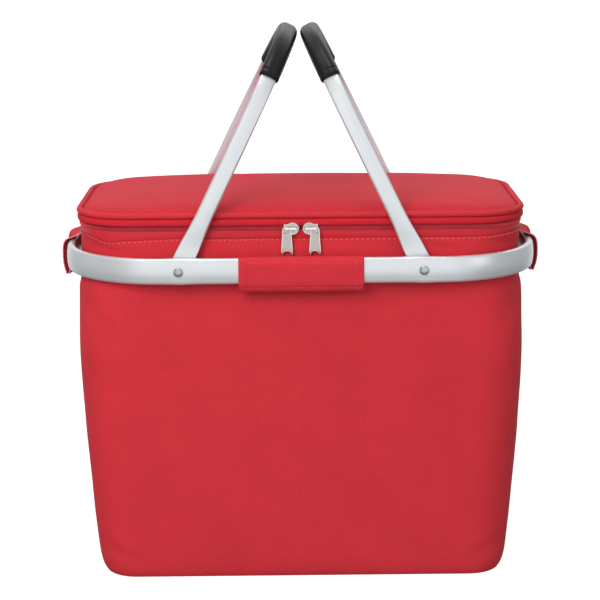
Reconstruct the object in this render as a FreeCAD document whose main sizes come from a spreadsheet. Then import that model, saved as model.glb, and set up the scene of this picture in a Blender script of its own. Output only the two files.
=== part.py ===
"""Insulated cooler bag with an aluminium rim frame and two swinging bail handles.

Millimetres, +Z up. The origin is the centre of the base where it stands on the table.
X runs along the length, -Y is the front, where the two zip sliders meet.
"""

import FreeCAD, Part
import math
import os

import Sketcher
from FreeCAD import Placement, Rotation, Vector

doc = FreeCAD.newDocument("cooler_bag")

# ---------------------------------------------------------------- driving dimensions

SIZES = {
    # fabric, foam and lining
    "fabric": 1.0,
    "clearance": 0.1,
    "foam": 5.0,
    "lining": 0.6,
    # outline of the bag at nine heights: level, half length, half width, corner radius;
    # the frame's round ends hold the corners in between hoop_low and hoop_top
    "foot_level": 1.3, "foot_length": 190.0, "foot_width": 100.5, "foot_corner": 32.0,
    "low_level": 9.0, "low_length": 195.0, "low_width": 104.0, "low_corner": 36.0,
    "knee_level": 60.0, "knee_length": 200.5, "knee_width": 105.0, "knee_corner": 42.0,
    "mid_level": 130.0, "mid_length": 206.0, "mid_width": 105.5, "mid_corner": 46.0,
    "chest_level": 220.0, "chest_length": 208.0, "chest_width": 105.0, "chest_corner": 49.0,
    "hoop_low_level": 288.0, "hoop_low_length": 206.7, "hoop_low_width": 103.7, "hoop_low_corner": 59.0,
    "hoop_top_level": 316.0, "hoop_top_length": 206.2, "hoop_top_width": 103.2, "hoop_top_corner": 59.0,
    "rim_level": 328.0, "rim_length": 206.0, "rim_width": 103.0, "rim_corner": 50.0,
    "lip_level": 334.0, "lip_length": 206.0, "lip_width": 103.0, "lip_corner": 50.0,
    # bottom
    "panel_top": 1.2, "board_low": 1.4, "board_top": 3.4, "board_inset": 1.7,
    "floor_low": 3.6, "floor_top": 8.6,
    "binding_low": 334.1, "binding_top": 335.6, "binding_thick": 5.8,
    # zip: two tapes, two rows of teeth, open along the hinge at the back
    "lower_tape_low": 328.2, "lower_tape_top": 336.1, "tape_thick": 0.8,
    "lower_tape_inset": 0.2, "upper_tape_inset": 1.1,
    "lower_teeth_low": 336.2, "lower_teeth_top": 337.8,
    "upper_teeth_low": 338.6, "upper_teeth_top": 340.2,
    "upper_tape_low": 340.3, "upper_tape_top": 346.5,
    "teeth_proud": 0.6, "teeth_thick": 1.8,
    "hinge_half": 150.0, "zip_end_half": 151.5,
    "hinge_low": 328.2, "hinge_top": 346.8, "hinge_face": 102.9, "hinge_thick": 1.0,
    # lid
    "band_low": 341.0, "band_top": 346.9,
    "piping_level": 349.8, "piping_inset": 2.0, "piping_radius": 2.8,
    "edge_level": 349.8, "edge_inset": 4.9,
    "shoulder_level": 354.6, "shoulder_inset": 8.0,
    "slope_level": 358.6, "slope_inset": 18.0,
    "crown_level": 361.6, "crown_inset": 46.0,
    "pad_low": 342.5, "pad_top": 346.8, "pad_inset": 2.2,
    "lid_lining_low": 341.8, "lid_lining_inset": 5.0,
    # rim frame: flat-oval tube bent to a rounded rectangle in two halves
    "ring_level": 302.0, "ring_length": 218.0, "ring_width": 118.0, "ring_bend": 90.0,
    "ring_half_thick": 4.5, "ring_half_tall": 12.0, "ring_corner": 4.4,
    "tube_wall": 1.2, "ring_joint": 0.25,
    "plug_half_length": 25.0, "plug_play": 0.1,
    # handles: flat-oval tube, plan of each bail in its own frame, pivot at the origin
    "pivot": 111.5, "lean": 64.0,
    "arm_width": 109.4, "arm_start": 38.0, "arm_straight": 57.0,
    "arm_bend": 400.0, "arch_radius": 100.5,
    "bar_half_thick": 3.0, "bar_half_tall": 7.5, "bar_corner": 2.9,
    "tang_face": 107.4, "tang_thick": 4.0, "tang_half_tall": 9.75, "tang_corner": 9.6,
    "tang_centre": 7.5, "tang_half_length": 17.25, "neck_start": 22.0, "neck_end": 44.0,
    "grip_half_thick": 7.0, "grip_half_tall": 9.5, "grip_corner": 6.9,
    "grip_play": 0.05, "grip_sweep": 107.0,
    # rivets and their spacers
    "rivet_radius": 2.5, "rivet_hole": 2.53, "tang_hole": 2.55,
    "head_radius": 4.5, "head_top": 125.0, "head_seat": 122.55,
    "tail_seat": 107.25, "tail_top": 106.1,
    "spacer_radius": 7.0, "spacer_bore": 2.56, "spacer_face": 111.6, "spacer_thick": 1.8,
    # fabric sleeves and end loops that hold the frame
    "sleeve_half": 57.0, "loop_half": 25.0,
    # zip sliders and pulls
    "slider_centre": 9.1, "slider_level": 338.2,
    "plate_face": 104.0, "plate_thick": 1.2,
    "back_face": 100.6, "back_thick": 1.0, "back_half_tall": 1.9, "web_half_tall": 0.3,
    "bridge_axis": 108.1, "bridge_level": 337.0, "bridge_half": 0.7,
    "bridge_end": 5.4, "post_reach": 4.7, "post_radius": 0.7,
    "pull_back": 106.15, "pull_thick": 0.9, "pull_centre": 3.7,
}

sheet = doc.addObject("Spreadsheet::Sheet", "Dimensions")
for row, (alias, value) in enumerate(SIZES.items(), start=1):
    sheet.set("A%d" % row, alias)
    sheet.set("B%d" % row, str(value))
    sheet.setAlias("B%d" % row, alias)
doc.recompute()


def number(text):
    """Value of a sum of cell names and plain numbers, such as 'rim_length - fabric'."""
    total, sign = 0.0, 1.0
    for word in str(text).split():
        if word in ("+", "-"):
            sign = 1.0 if word == "+" else -1.0
        else:
            total += sign * (SIZES[word] if word in SIZES else float(word))
            sign = 1.0
    return total


def formula(text):
    """The same sum as an expression on the spreadsheet."""
    return " ".join("Dimensions." + w if w in SIZES else w for w in str(text).split())


def negated(text):
    """The sum with every sign turned round."""
    words = str(text).split()
    if words[0] not in ("+", "-"):
        words.insert(0, "+")
    swap = {"+": "-", "-": "+"}
    return " ".join(swap.get(w, w) for w in words)


def minus(high, low):
    return "%s %s" % (high, negated(low))


# ---------------------------------------------------------------- sketch helpers

def new_body(name):
    made = doc.addObject("PartDesign::Body", name)
    made.Label = name
    return made


def sketch_on(made, role, name, at=("0", "0", "0")):
    """Sketch on one of the body's origin planes, moved by `at` in the sketch's own frame."""
    made_sketch = made.newObject("Sketcher::SketchObject", name)
    plane = next(f for f in made.Origin.OriginFeatures if f.Role == role)
    made_sketch.AttachmentSupport = [(plane, "")]
    made_sketch.MapMode = "FlatFace"
    made_sketch.AttachmentOffset = Placement(Vector(*(number(a) for a in at)), Rotation())
    for axis, amount in zip("xyz", at):
        if amount != "0":
            made_sketch.setExpression("AttachmentOffset.Base." + axis, formula(amount))
    return made_sketch


def bind(made_sketch, constraint, name, text):
    """Add a datum constraint and tie it to the spreadsheet."""
    index = made_sketch.addConstraint(constraint)
    made_sketch.renameConstraint(index, name)
    made_sketch.setExpression("Constraints." + name, formula(text))


def join_tangent(made_sketch, chain, closed):
    pairs = list(zip(chain, chain[1:]))
    if closed:
        pairs.append((chain[-1], chain[0]))
    for first, second in pairs:
        made_sketch.addConstraint(Sketcher.Constraint("Tangent", first, 2, second, 1))


def arc(centre_x, centre_y, radius, start, end):
    circle = Part.Circle(Vector(centre_x, centre_y, 0), Vector(0, 0, 1), radius)
    return Part.ArcOfCircle(circle, math.radians(start), math.radians(end))


def segment(x0, y0, x1, y1):
    return Part.LineSegment(Vector(x0, y0, 0), Vector(x1, y1, 0))


def rounded_rectangle(made_sketch, half_x, half_y, corner, tag=""):
    """Rounded rectangle centred on the sketch's origin, from three bound dimensions."""
    a, b, r = number(half_x), number(half_y), number(corner)
    first = made_sketch.GeometryCount
    parts = [
        segment(-(a - r), -b, a - r, -b), arc(a - r, -(b - r), r, 270, 360),
        segment(a, -(b - r), a, b - r), arc(a - r, b - r, r, 0, 90),
        segment(a - r, b, -(a - r), b), arc(-(a - r), b - r, r, 90, 180),
        segment(-a, b - r, -a, -(b - r)), arc(-(a - r), -(b - r), r, 180, 270),
    ]
    made_sketch.addGeometry(parts, False)
    chain = [first + k for k in range(len(parts))]
    join_tangent(made_sketch, chain, closed=True)
    low, arc_a, right, arc_b, top, arc_c, left, arc_d = chain
    for line in (low, top):
        made_sketch.addConstraint(Sketcher.Constraint("Horizontal", line))
    for line in (right, left):
        made_sketch.addConstraint(Sketcher.Constraint("Vertical", line))
    for other in (arc_b, arc_c, arc_d):
        made_sketch.addConstraint(Sketcher.Constraint("Equal", arc_a, other))
    made_sketch.addConstraint(Sketcher.Constraint("Symmetric", arc_a, 3, arc_c, 3, -1, 1))
    bind(made_sketch, Sketcher.Constraint("DistanceX", -1, 1, right, 1, a), tag + "half_x", half_x)
    bind(made_sketch, Sketcher.Constraint("DistanceY", -1, 1, top, 1, b), tag + "half_y", half_y)
    bind(made_sketch, Sketcher.Constraint("Radius", arc_a, r), tag + "corner", corner)


def circle(made_sketch, radius, tag=""):
    """Circle on the sketch's origin."""
    r = number(radius)
    index = made_sketch.addGeometry(Part.Circle(Vector(0, 0, 0), Vector(0, 0, 1), r), False)
    made_sketch.addConstraint(Sketcher.Constraint("Coincident", index, 3, -1, 1))
    bind(made_sketch, Sketcher.Constraint("Radius", index, r), tag + "radius", radius)


def polygon(made_sketch, corners, tag=""):
    """Closed polygon whose corners are bound to sums of cells, one pair for each corner."""
    first = made_sketch.GeometryCount
    points = [(number(x), number(y)) for x, y in corners]
    for start, end in zip(points, points[1:] + points[:1]):
        made_sketch.addGeometry(segment(*start, *end), False)
    count = len(points)
    for k in range(count):
        following = first + (k + 1) % count
        made_sketch.addConstraint(Sketcher.Constraint("Coincident", first + k, 2, following, 1))
    for k, (x, y) in enumerate(corners):
        for kind, text, axis in (("DistanceX", x, -2), ("DistanceY", y, -1)):
            line, value = first + k, number(text)
            name = "%scorner_%d_%s" % (tag, k, kind[-1].lower())
            if abs(value) < 1e-9:
                made_sketch.addConstraint(Sketcher.Constraint("PointOnObject", line, 1, axis))
            elif value > 0:
                bind(made_sketch, Sketcher.Constraint(kind, -1, 1, line, 1, value), name, text)
            else:
                bind(made_sketch, Sketcher.Constraint(kind, line, 1, -1, 1, -value), name, negated(text))


def pad(made, made_sketch, length, symmetric=False):
    feature = made.newObject("PartDesign::Pad", made.Name + "_pad")
    feature.Profile = made_sketch
    feature.Length = number(length)
    feature.setExpression("Length", formula(length))
    if symmetric:
        feature.SideType = "Symmetric"
    return feature


def through_pocket(made, made_sketch, length):
    """Pocket cut both ways from its sketch."""
    feature = made.newObject("PartDesign::Pocket", made.Name + "_pocket")
    feature.Profile = made_sketch
    feature.SideType = "Symmetric"
    feature.Length = number(length)
    feature.setExpression("Length", formula(length))
    return feature


def loft(made, kind, sketches):
    feature = made.newObject("PartDesign::" + kind, made.Name + "_loft")
    feature.Profile = sketches[0]
    feature.Sections = sketches[1:]
    feature.Ruled = True
    return feature


def sweep(made, profile, path):
    feature = made.newObject("PartDesign::AdditivePipe", made.Name + "_pipe")
    feature.Profile = profile
    feature.Spine = (path, [])
    return feature


PARTS = []


def keep(made):
    PARTS.append(made)
    return made


# ---------------------------------------------------------------- bag walls

WALL = ("foot", "low", "knee", "mid", "chest", "hoop_low", "hoop_top", "rim")
LINED_WALL = ("low", "knee", "mid", "chest", "hoop_low", "hoop_top", "rim", "lip")


def wall_sections(made, names, inset, tag, raised="0"):
    """One outline sketch at each named level, drawn in by `inset`."""
    sketches = []
    for k, name in enumerate(names):
        level = name + "_level" + (" + " + raised if k == 0 and raised != "0" else "")
        made_sketch = sketch_on(made, "XY_Plane", made.Name + tag + name, ("0", "0", level))
        sizes = [minus(name + part, inset) for part in ("_length", "_width", "_corner")]
        rounded_rectangle(made_sketch, *sizes)
        sketches.append(made_sketch)
    return sketches


def wall(name, names, inset, thick, floor="0"):
    """Tapered wall between two lofts; with a floor it is a cup."""
    made = new_body(name)
    loft(made, "AdditiveLoft", wall_sections(made, names, inset, "_out_"))
    loft(made, "SubtractiveLoft", wall_sections(made, names, inset + " + " + thick, "_in_", floor))
    return keep(made)


def flat_panel(name, outline, inset, low, high):
    """Flat rounded panel with a named outline drawn in by `inset`."""
    made = new_body(name)
    made_sketch = sketch_on(made, "XY_Plane", name + "_outline", ("0", "0", low))
    sizes = [minus(outline + part, inset) for part in ("_length", "_width", "_corner")]
    rounded_rectangle(made_sketch, *sizes)
    pad(made, made_sketch, minus(high, low))
    return keep(made)


wall("outer_shell", WALL, "0", "fabric")
flat_panel("base_panel", "foot", "2", "0", "panel_top")
flat_panel("base_board", "foot", "board_inset", "board_low", "board_top")
flat_panel("floor_foam", "foot", "fabric + clearance", "floor_low", "floor_top")
wall("wall_foam", LINED_WALL, "fabric + clearance", "foam")
wall("body_lining", LINED_WALL, "fabric + foam + 0.2", "lining", "lining")


# ---------------------------------------------------------------- bands round the rim

def band(name, inset, thick, low, high, open_back):
    """Upright strip round the rim outline; open_back leaves out the stretch along the hinge."""
    made = new_body(name)
    made_sketch = sketch_on(made, "XY_Plane", name + "_outline", ("0", "0", low))
    outer = [minus("rim" + part, inset) for part in ("_length", "_width", "_corner")]
    rounded_rectangle(made_sketch, *outer, tag="outer_")
    rounded_rectangle(made_sketch, *[minus(size, thick) for size in outer], tag="inner_")
    pad(made, made_sketch, minus(high, low))
    if open_back:
        slot = sketch_on(made, "XY_Plane", name + "_opening", ("0", "0", low))
        polygon(slot, [("- zip_end_half", "rim_width - 20"), ("zip_end_half", "rim_width - 20"),
                       ("zip_end_half", "rim_width + 20"), ("- zip_end_half", "rim_width + 20")])
        through_pocket(made, slot, "60")
    return keep(made)


band("rim_binding", "fabric + clearance", "binding_thick", "binding_low", "binding_top", False)
band("lower_zip_tape", "lower_tape_inset", "tape_thick", "lower_tape_low", "lower_tape_top", True)
band("lower_zip_teeth", "- teeth_proud", "teeth_thick", "lower_teeth_low", "lower_teeth_top", True)
band("upper_zip_teeth", "- teeth_proud", "teeth_thick", "upper_teeth_low", "upper_teeth_top", True)
band("upper_zip_tape", "upper_tape_inset", "tape_thick", "upper_tape_low", "upper_tape_top", True)
band("lid_band", "0", "fabric", "band_low", "band_top", True)


def make_lid_hinge():
    made = new_body("lid_hinge")
    made_sketch = sketch_on(made, "XZ_Plane", "lid_hinge_outline", ("0", "0", "- hinge_face"))
    polygon(made_sketch, [("- hinge_half", "hinge_low"), ("hinge_half", "hinge_low"),
                          ("hinge_half", "hinge_top"), ("- hinge_half", "hinge_top")])
    pad(made, made_sketch, "hinge_thick")
    return keep(made)


def make_zip_end_stops():
    """Small clips that close both ends of the zip, beside the hinge."""
    stops = []
    for side, name in ((-1, "left_stop"), (1, "right_stop")):
        made = doc.addObject("Part::Box", name)
        made.Length, made.Width, made.Height = 0.9, 1.8, 4.0
        start = "zip_end_half - 1.2" if side > 0 else "- zip_end_half + 0.3"
        made.Placement.Base = Vector(number(start), number("rim_width + 0.1"), number("lower_teeth_low"))
        made.setExpression("Placement.Base.x", formula(start))
        made.setExpression("Placement.Base.y", formula("rim_width + 0.1"))
        made.setExpression("Placement.Base.z", formula("lower_teeth_low"))
        stops.append(made)
    group = doc.addObject("Part::Compound", "zip_end_stops")
    group.Links = stops
    return keep(group)


make_lid_hinge()
make_zip_end_stops()


# ---------------------------------------------------------------- lid

CROWN = ("edge", "shoulder", "slope", "crown")


def crown_sections(made, tag, drop, extra, levels=CROWN):
    """Outlines that step up and inwards from the piping to the top of the padded lid."""
    sketches = []
    for name in levels:
        level = name + "_level" if name == "edge" else "%s_level - %s" % (name, drop)
        inset = "%s_inset + %s" % (name, extra)
        made_sketch = sketch_on(made, "XY_Plane", made.Name + tag + name, ("0", "0", level))
        sizes = [minus("rim" + part, inset) for part in ("_length", "_width")]
        corner = "rim_corner - 10" if name == "crown" else minus("rim_corner", inset)
        rounded_rectangle(made_sketch, *sizes, corner)
        sketches.append(made_sketch)
    return sketches


def make_lid_panel():
    made = new_body("lid_panel")
    loft(made, "AdditiveLoft", crown_sections(made, "_out_", "0", "0"))
    loft(made, "SubtractiveLoft", crown_sections(made, "_in_", "fabric", "fabric"))
    return keep(made)


def make_lid_foam():
    """Foam pad inside the lid: a flat slab with the crowned pad on top."""
    made = new_body("lid_foam")
    slab = sketch_on(made, "XY_Plane", "lid_foam_slab", ("0", "0", "pad_low"))
    rounded_rectangle(slab, *[minus("rim" + part, "pad_inset") for part in ("_length", "_width", "_corner")])
    pad(made, slab, minus("pad_top", "pad_low"))
    core = sketch_on(made, "XY_Plane", "lid_foam_core", ("0", "0", "pad_low"))
    rounded_rectangle(core, *[minus("rim" + part, "edge_inset + 1.2") for part in ("_length", "_width", "_corner")])
    loft(made, "AdditiveLoft", [core] + crown_sections(made, "_up_", "1.2", "1.2"))
    return keep(made)


def make_lid_lining():
    return flat_panel("lid_lining", "rim", "lid_lining_inset", "lid_lining_low", "lid_lining_low + lining")


def make_lid_piping():
    made = new_body("lid_piping")
    path = sketch_on(made, "XY_Plane", "piping_path", ("0", "0", "piping_level"))
    rounded_rectangle(path, *[minus("rim" + part, "piping_inset") for part in ("_length", "_width", "_corner")])
    start = ("- rim_width + piping_inset", "piping_level", "rim_corner - rim_length")
    section = sketch_on(made, "YZ_Plane", "piping_section", start)
    circle(section, "piping_radius")
    sweep(made, section, path)
    return keep(made)


make_lid_panel()
make_lid_foam()
make_lid_lining()
make_lid_piping()


# ---------------------------------------------------------------- rim frame

def make_frame_tube(name, side):
    """Half of the rim frame, a flat-oval tube bent to a U, with holes for two rivets."""
    made = new_body(name)
    path = sketch_on(made, "XY_Plane", name + "_path", ("0", "0", "ring_level"))
    a, b, r = number("ring_length"), number("ring_width"), number("ring_bend")
    j = number("ring_joint")
    if side < 0:
        parts = [segment(-j, -b, -(a - r), -b), arc(-(a - r), -(b - r), r, 180, 270),
                 segment(-a, -(b - r), -a, b - r), arc(-(a - r), b - r, r, 90, 180),
                 segment(-(a - r), b, -j, b)]
    else:
        parts = [segment(j, -b, a - r, -b), arc(a - r, -(b - r), r, 270, 360),
                 segment(a, -(b - r), a, b - r), arc(a - r, b - r, r, 0, 90),
                 segment(a - r, b, j, b)]
    path.addGeometry(parts, False)
    ends = ((0, 2, 1, 2), (1, 1, 2, 1), (2, 2, 3, 2), (3, 1, 4, 1))
    if side > 0:
        ends = ((0, 2, 1, 1), (1, 2, 2, 1), (2, 2, 3, 1), (3, 2, 4, 1))
    for link in ends:
        path.addConstraint(Sketcher.Constraint("Tangent", *link))
    for line in (0, 4):
        path.addConstraint(Sketcher.Constraint("Horizontal", line))
    path.addConstraint(Sketcher.Constraint("Equal", 1, 3))
    path.addConstraint(Sketcher.Constraint("Symmetric", 2, 1, 2, 2, -1))
    out, back = ((2, 1, -1, 1), (0, 1, -1, 1)) if side < 0 else ((-1, 1, 2, 1), (-1, 1, 0, 1))
    bind(path, Sketcher.Constraint("DistanceX", *out, a), "length", "ring_length")
    bind(path, Sketcher.Constraint("DistanceX", *back, j), "joint", "ring_joint")
    bind(path, Sketcher.Constraint("DistanceY", 0, 1, -1, 1, b), "width", "ring_width")
    bind(path, Sketcher.Constraint("Radius", 1, r), "bend", "ring_bend")
    path.addConstraint(Sketcher.Constraint("Vertical", 0, 1, 4, 2))
    at = ("- ring_width", "ring_level", "- ring_joint" if side < 0 else "ring_joint")
    section = sketch_on(made, "YZ_Plane", name + "_section", at)
    outer = ["ring_half_thick", "ring_half_tall", "ring_corner"]
    rounded_rectangle(section, *outer, tag="outer_")
    rounded_rectangle(section, *[minus(size, "tube_wall") for size in outer], tag="inner_")
    sweep(made, section, path)
    at = ("- pivot" if side < 0 else "pivot", "ring_level", "0")
    hole = sketch_on(made, "XZ_Plane", name + "_hole", at)
    circle(hole, "rivet_hole")
    through_pocket(made, hole, "300")
    return keep(made)


def make_splice_plug(name, side):
    """Flat-oval bar that joins the two halves inside the tube."""
    made = new_body(name)
    across = "ring_width" if side > 0 else "- ring_width"
    section = sketch_on(made, "YZ_Plane", name + "_section", (across, "ring_level", "0"))
    play = "tube_wall + plug_play"
    sizes = [minus(size, play) for size in ("ring_half_thick", "ring_half_tall", "ring_corner")]
    rounded_rectangle(section, *sizes)
    pad(made, section, "plug_half_length + plug_half_length", symmetric=True)
    return keep(made)


make_frame_tube("frame_tube_left", -1)
make_frame_tube("frame_tube_right", 1)
make_splice_plug("splice_plug_front", -1)
make_splice_plug("splice_plug_rear", 1)


# ---------------------------------------------------------------- sleeves and loops of fabric

def make_sleeve(name, side):
    """Fabric sleeve folded over the frame and sewn to the wall below it."""
    made = new_body(name)
    section = sketch_on(made, "YZ_Plane", name + "_section")
    level, sign = "ring_level", "+ " if side > 0 else "- "

    def out(text):
        return sign + "ring_width" + (" + " if side > 0 else " - ") + text

    def inward(text):
        return sign + "ring_width" + (" - " if side > 0 else " + ") + text

    outer = [
        (inward("13.4"), level + " - 21"), (out("3"), level + " - 17.5"),
        (out("5.9"), level + " - 13"), (out("5.9"), level + " + 9"),
        (out("4"), level + " + 12.8"), (out("0"), level + " + 14"),
        (inward("4"), level + " + 12.8"), (inward("5.9"), level + " + 9"),
        (inward("5.9"), level + " - 9"), (inward("13.4"), level + " - 14"),
    ]
    inner = [
        (inward("2.6"), level + " - 12.3"), (out("2.6"), level + " - 12.3"),
        (out("4.9"), level + " - 8.6"), (out("4.9"), level + " + 8.6"),
        (out("2.6"), level + " + 12.3"), (inward("2.6"), level + " + 12.3"),
        (inward("4.9"), level + " + 8.6"), (inward("4.9"), level + " - 8.6"),
    ]
    polygon(section, outer, "outer_")
    polygon(section, inner, "inner_")
    pad(made, section, "sleeve_half + sleeve_half", symmetric=True)
    return keep(made)


def make_end_loop(name, side):
    """Fabric strap from the rim seam, over the end of the frame and back under it to the wall."""
    made = new_body(name)
    section = sketch_on(made, "XZ_Plane", name + "_section")
    level = "ring_level"

    def out(text):
        return "+ ring_length + " + text if side > 0 else "- ring_length - " + text

    def inward(text):
        return "+ ring_length - " + text if side > 0 else "- ring_length + " + text

    outer = [
        (inward("11.6"), level + " + 26"), (inward("3"), level + " + 17"),
        (out("3"), level + " + 15"), (out("7"), level + " + 9"),
        (out("7"), level + " - 13"), (out("4"), level + " - 22"),
        (inward("0"), level + " - 19"), (inward("6"), level + " - 10"),
        (inward("6"), level + " + 8"), (inward("11.6"), level + " + 20"),
    ]
    inner = [
        (inward("2.6"), level + " - 12.6"), (out("2.6"), level + " - 12.6"),
        (out("5"), level + " - 8.8"), (out("5"), level + " + 8.8"),
        (out("2.6"), level + " + 12.6"), (inward("2.6"), level + " + 12.6"),
        (inward("5"), level + " + 8.8"), (inward("5"), level + " - 8.8"),
    ]
    polygon(section, outer, "outer_")
    polygon(section, inner, "inner_")
    pad(made, section, "loop_half + loop_half", symmetric=True)
    return keep(made)


make_sleeve("front_sleeve", -1)
make_sleeve("rear_sleeve", 1)
make_end_loop("left_loop", -1)
make_end_loop("right_loop", 1)


# ---------------------------------------------------------------- handles

def lean_on_pivot(made, side):
    """Carry a piece from the bail's own frame (arms along +X) to its rest place on the frame."""
    turn = -number("lean") if side < 0 else number("lean") - 180
    turn_text = "- lean" if side < 0 else "lean - 180"
    across = "- pivot" if side < 0 else "pivot"
    made.Placement = Placement(Vector(number(across), 0, number("ring_level")),
                               Rotation(Vector(0, 1, 0), turn))
    made.setExpression("Placement.Base.x", formula(across))
    made.setExpression("Placement.Base.z", formula("ring_level"))
    made.setExpression("Placement.Rotation.Angle", "(" + formula(turn_text) + ") * 1 deg")


def arch_centre():
    """Distance from the pivot to the centre of the bail's top arch."""
    reach = number("arm_bend") - number("arch_radius")
    rise = number("arm_bend") - number("arm_width")
    return number("arm_straight") + math.sqrt(reach ** 2 - rise ** 2)


def make_bail(name, side):
    """U-shaped handle of flat-oval tube, its ends pressed flat for the rivets."""
    made = new_body(name)
    width, start, straight = number("arm_width"), number("arm_start"), number("arm_straight")
    bend, arch = number("arm_bend"), number("arch_radius")
    centre = arch_centre()
    turn = math.degrees(math.asin((centre - straight) / (bend - arch)))
    path = sketch_on(made, "XY_Plane", name + "_path")
    path.addGeometry([
        segment(start, -width, straight, -width),
        arc(straight, bend - width, bend, 270, 270 + turn),
        arc(centre, 0, arch, 270 + turn, 450 - turn),
        arc(straight, width - bend, bend, 90 - turn, 90),
        segment(straight, width, start, width),
    ], False)
    join_tangent(path, [0, 1, 2, 3, 4], closed=False)
    path.addConstraint(Sketcher.Constraint("Horizontal", 0))
    path.addConstraint(Sketcher.Constraint("Symmetric", 0, 1, 4, 2, -1))
    path.addConstraint(Sketcher.Constraint("Symmetric", 0, 2, 4, 1, -1))
    path.addConstraint(Sketcher.Constraint("Equal", 1, 3))
    bind(path, Sketcher.Constraint("DistanceX", -1, 1, 0, 1, start), "start", "arm_start")
    bind(path, Sketcher.Constraint("DistanceX", -1, 1, 0, 2, straight), "straight", "arm_straight")
    bind(path, Sketcher.Constraint("DistanceY", 0, 1, -1, 1, width), "width", "arm_width")
    bind(path, Sketcher.Constraint("Radius", 1, bend), "bend", "arm_bend")
    bind(path, Sketcher.Constraint("Radius", 2, arch), "arch", "arch_radius")
    section = sketch_on(made, "YZ_Plane", name + "_section", ("- arm_width", "0", "arm_start"))
    outer = ["bar_half_thick", "bar_half_tall", "bar_corner"]
    rounded_rectangle(section, *outer, tag="outer_")
    rounded_rectangle(section, *[minus(size, "tube_wall") for size in outer], tag="inner_")
    sweep(made, section, path)
    for depth in ("tang_face", "- tang_face - tang_thick"):
        tang = sketch_on(made, "XZ_Plane", name + "_tang", ("tang_centre", "0", depth))
        rounded_rectangle(tang, "tang_half_length", "tang_half_tall", "tang_corner")
        pad(made, tang, "tang_thick")
        neck = sketch_on(made, "XZ_Plane", name + "_neck", ("0", "0", depth))
        polygon(neck, [("neck_start - 8", "- tang_half_tall"), ("neck_start", "- tang_half_tall"),
                       ("neck_end", "- bar_half_tall"), ("neck_end", "bar_half_tall"),
                       ("neck_start", "tang_half_tall"), ("neck_start - 8", "tang_half_tall")])
        pad(made, neck, "tang_thick")
    hole = sketch_on(made, "XZ_Plane", name + "_hole")
    circle(hole, "tang_hole")
    through_pocket(made, hole, "300")
    lean_on_pivot(made, side)
    return keep(made)


def make_grip(name, side):
    """Moulded grip that covers the arch of the bail, swept about the arch's centre."""
    made = new_body(name)
    centre = arch_centre()
    section = sketch_on(made, "XZ_Plane", name + "_section")
    section.AttachmentOffset = Placement(Vector(centre + number("arch_radius"), 0, 0), Rotation())
    rounded_rectangle(section, "grip_half_thick", "grip_half_tall", "grip_corner", tag="outer_")
    bore = [size + " + grip_play" for size in ("bar_half_thick", "bar_half_tall", "bar_corner")]
    rounded_rectangle(section, *bore, tag="inner_")
    radius = number("arch_radius")
    axis = section.addGeometry(segment(-radius, -20, -radius, 20), True)
    section.addConstraint(Sketcher.Constraint("Vertical", axis))
    section.addConstraint(Sketcher.Constraint("DistanceY", -1, 1, axis, 2, 20))
    section.addConstraint(Sketcher.Constraint("DistanceY", axis, 1, -1, 1, 20))
    bind(section, Sketcher.Constraint("DistanceX", axis, 1, -1, 1, radius), "arch", "arch_radius")
    turn = made.newObject("PartDesign::Revolution", name + "_turn")
    turn.Profile = section
    turn.ReferenceAxis = (section, ["Axis0"])
    turn.Midplane = True
    turn.Angle = number("grip_sweep")
    turn.setExpression("Angle", formula("grip_sweep"))
    lean_on_pivot(made, side)
    return keep(made)


make_bail("left_bail_tube", -1)
make_bail("right_bail_tube", 1)
make_grip("left_grip", -1)
make_grip("right_grip", 1)


# ---------------------------------------------------------------- rivets

def four_places(made, name):
    """The piece at the front left pivot and its three mirror images, as one group."""
    made.Placement.Base = Vector(-number("pivot"), 0, number("ring_level"))
    made.setExpression("Placement.Base.x", formula("- pivot"))
    made.setExpression("Placement.Base.z", formula("ring_level"))
    copies = [made]
    for normal, sources in ((Vector(0, 1, 0), copies[:1]), (Vector(1, 0, 0), None)):
        for source in list(sources or copies):
            mirror = doc.addObject("Part::Mirroring", name + "_copy")
            mirror.Source = source
            mirror.Base = Vector(0, 0, 0)
            mirror.Normal = normal
            copies.append(mirror)
    group = doc.addObject("Part::Compound", name)
    group.Links = copies
    return keep(group)


def make_rivets():
    """Domed rivet turned about its own axis, which lies along Y."""
    made = new_body("rivet")
    profile = sketch_on(made, "XY_Plane", "rivet_profile")
    polygon(profile, [
        ("0", "- head_top"), ("1.8", "- head_top + 0.2"), ("3.4", "- head_top + 0.8"),
        ("4.3", "- head_top + 1.7"), ("head_radius", "- head_seat"), ("rivet_radius", "- head_seat"),
        ("rivet_radius", "- tail_seat"), ("head_radius", "- tail_seat"),
        ("head_radius", "- tail_top"), ("0", "- tail_top"),
    ])
    turn = made.newObject("PartDesign::Revolution", "rivet_turn")
    turn.Profile = profile
    turn.ReferenceAxis = (profile, ["V_Axis"])
    turn.Angle = 360
    return four_places(made, "bail_rivets")


def make_spacers():
    made = new_body("spacer")
    ring = sketch_on(made, "XZ_Plane", "spacer_ring", ("0", "0", "spacer_face"))
    circle(ring, "spacer_radius", "outer_")
    circle(ring, "spacer_bore", "inner_")
    pad(made, ring, "spacer_thick")
    return four_places(made, "rivet_spacers")


make_rivets()
make_spacers()


# ---------------------------------------------------------------- zip sliders and pulls

def mirrored(points, side):
    """Points given for the left slider, turned over for the right one."""
    if side < 0:
        return points
    return [(negated(x), y) for x, y in reversed(points)]


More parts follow.
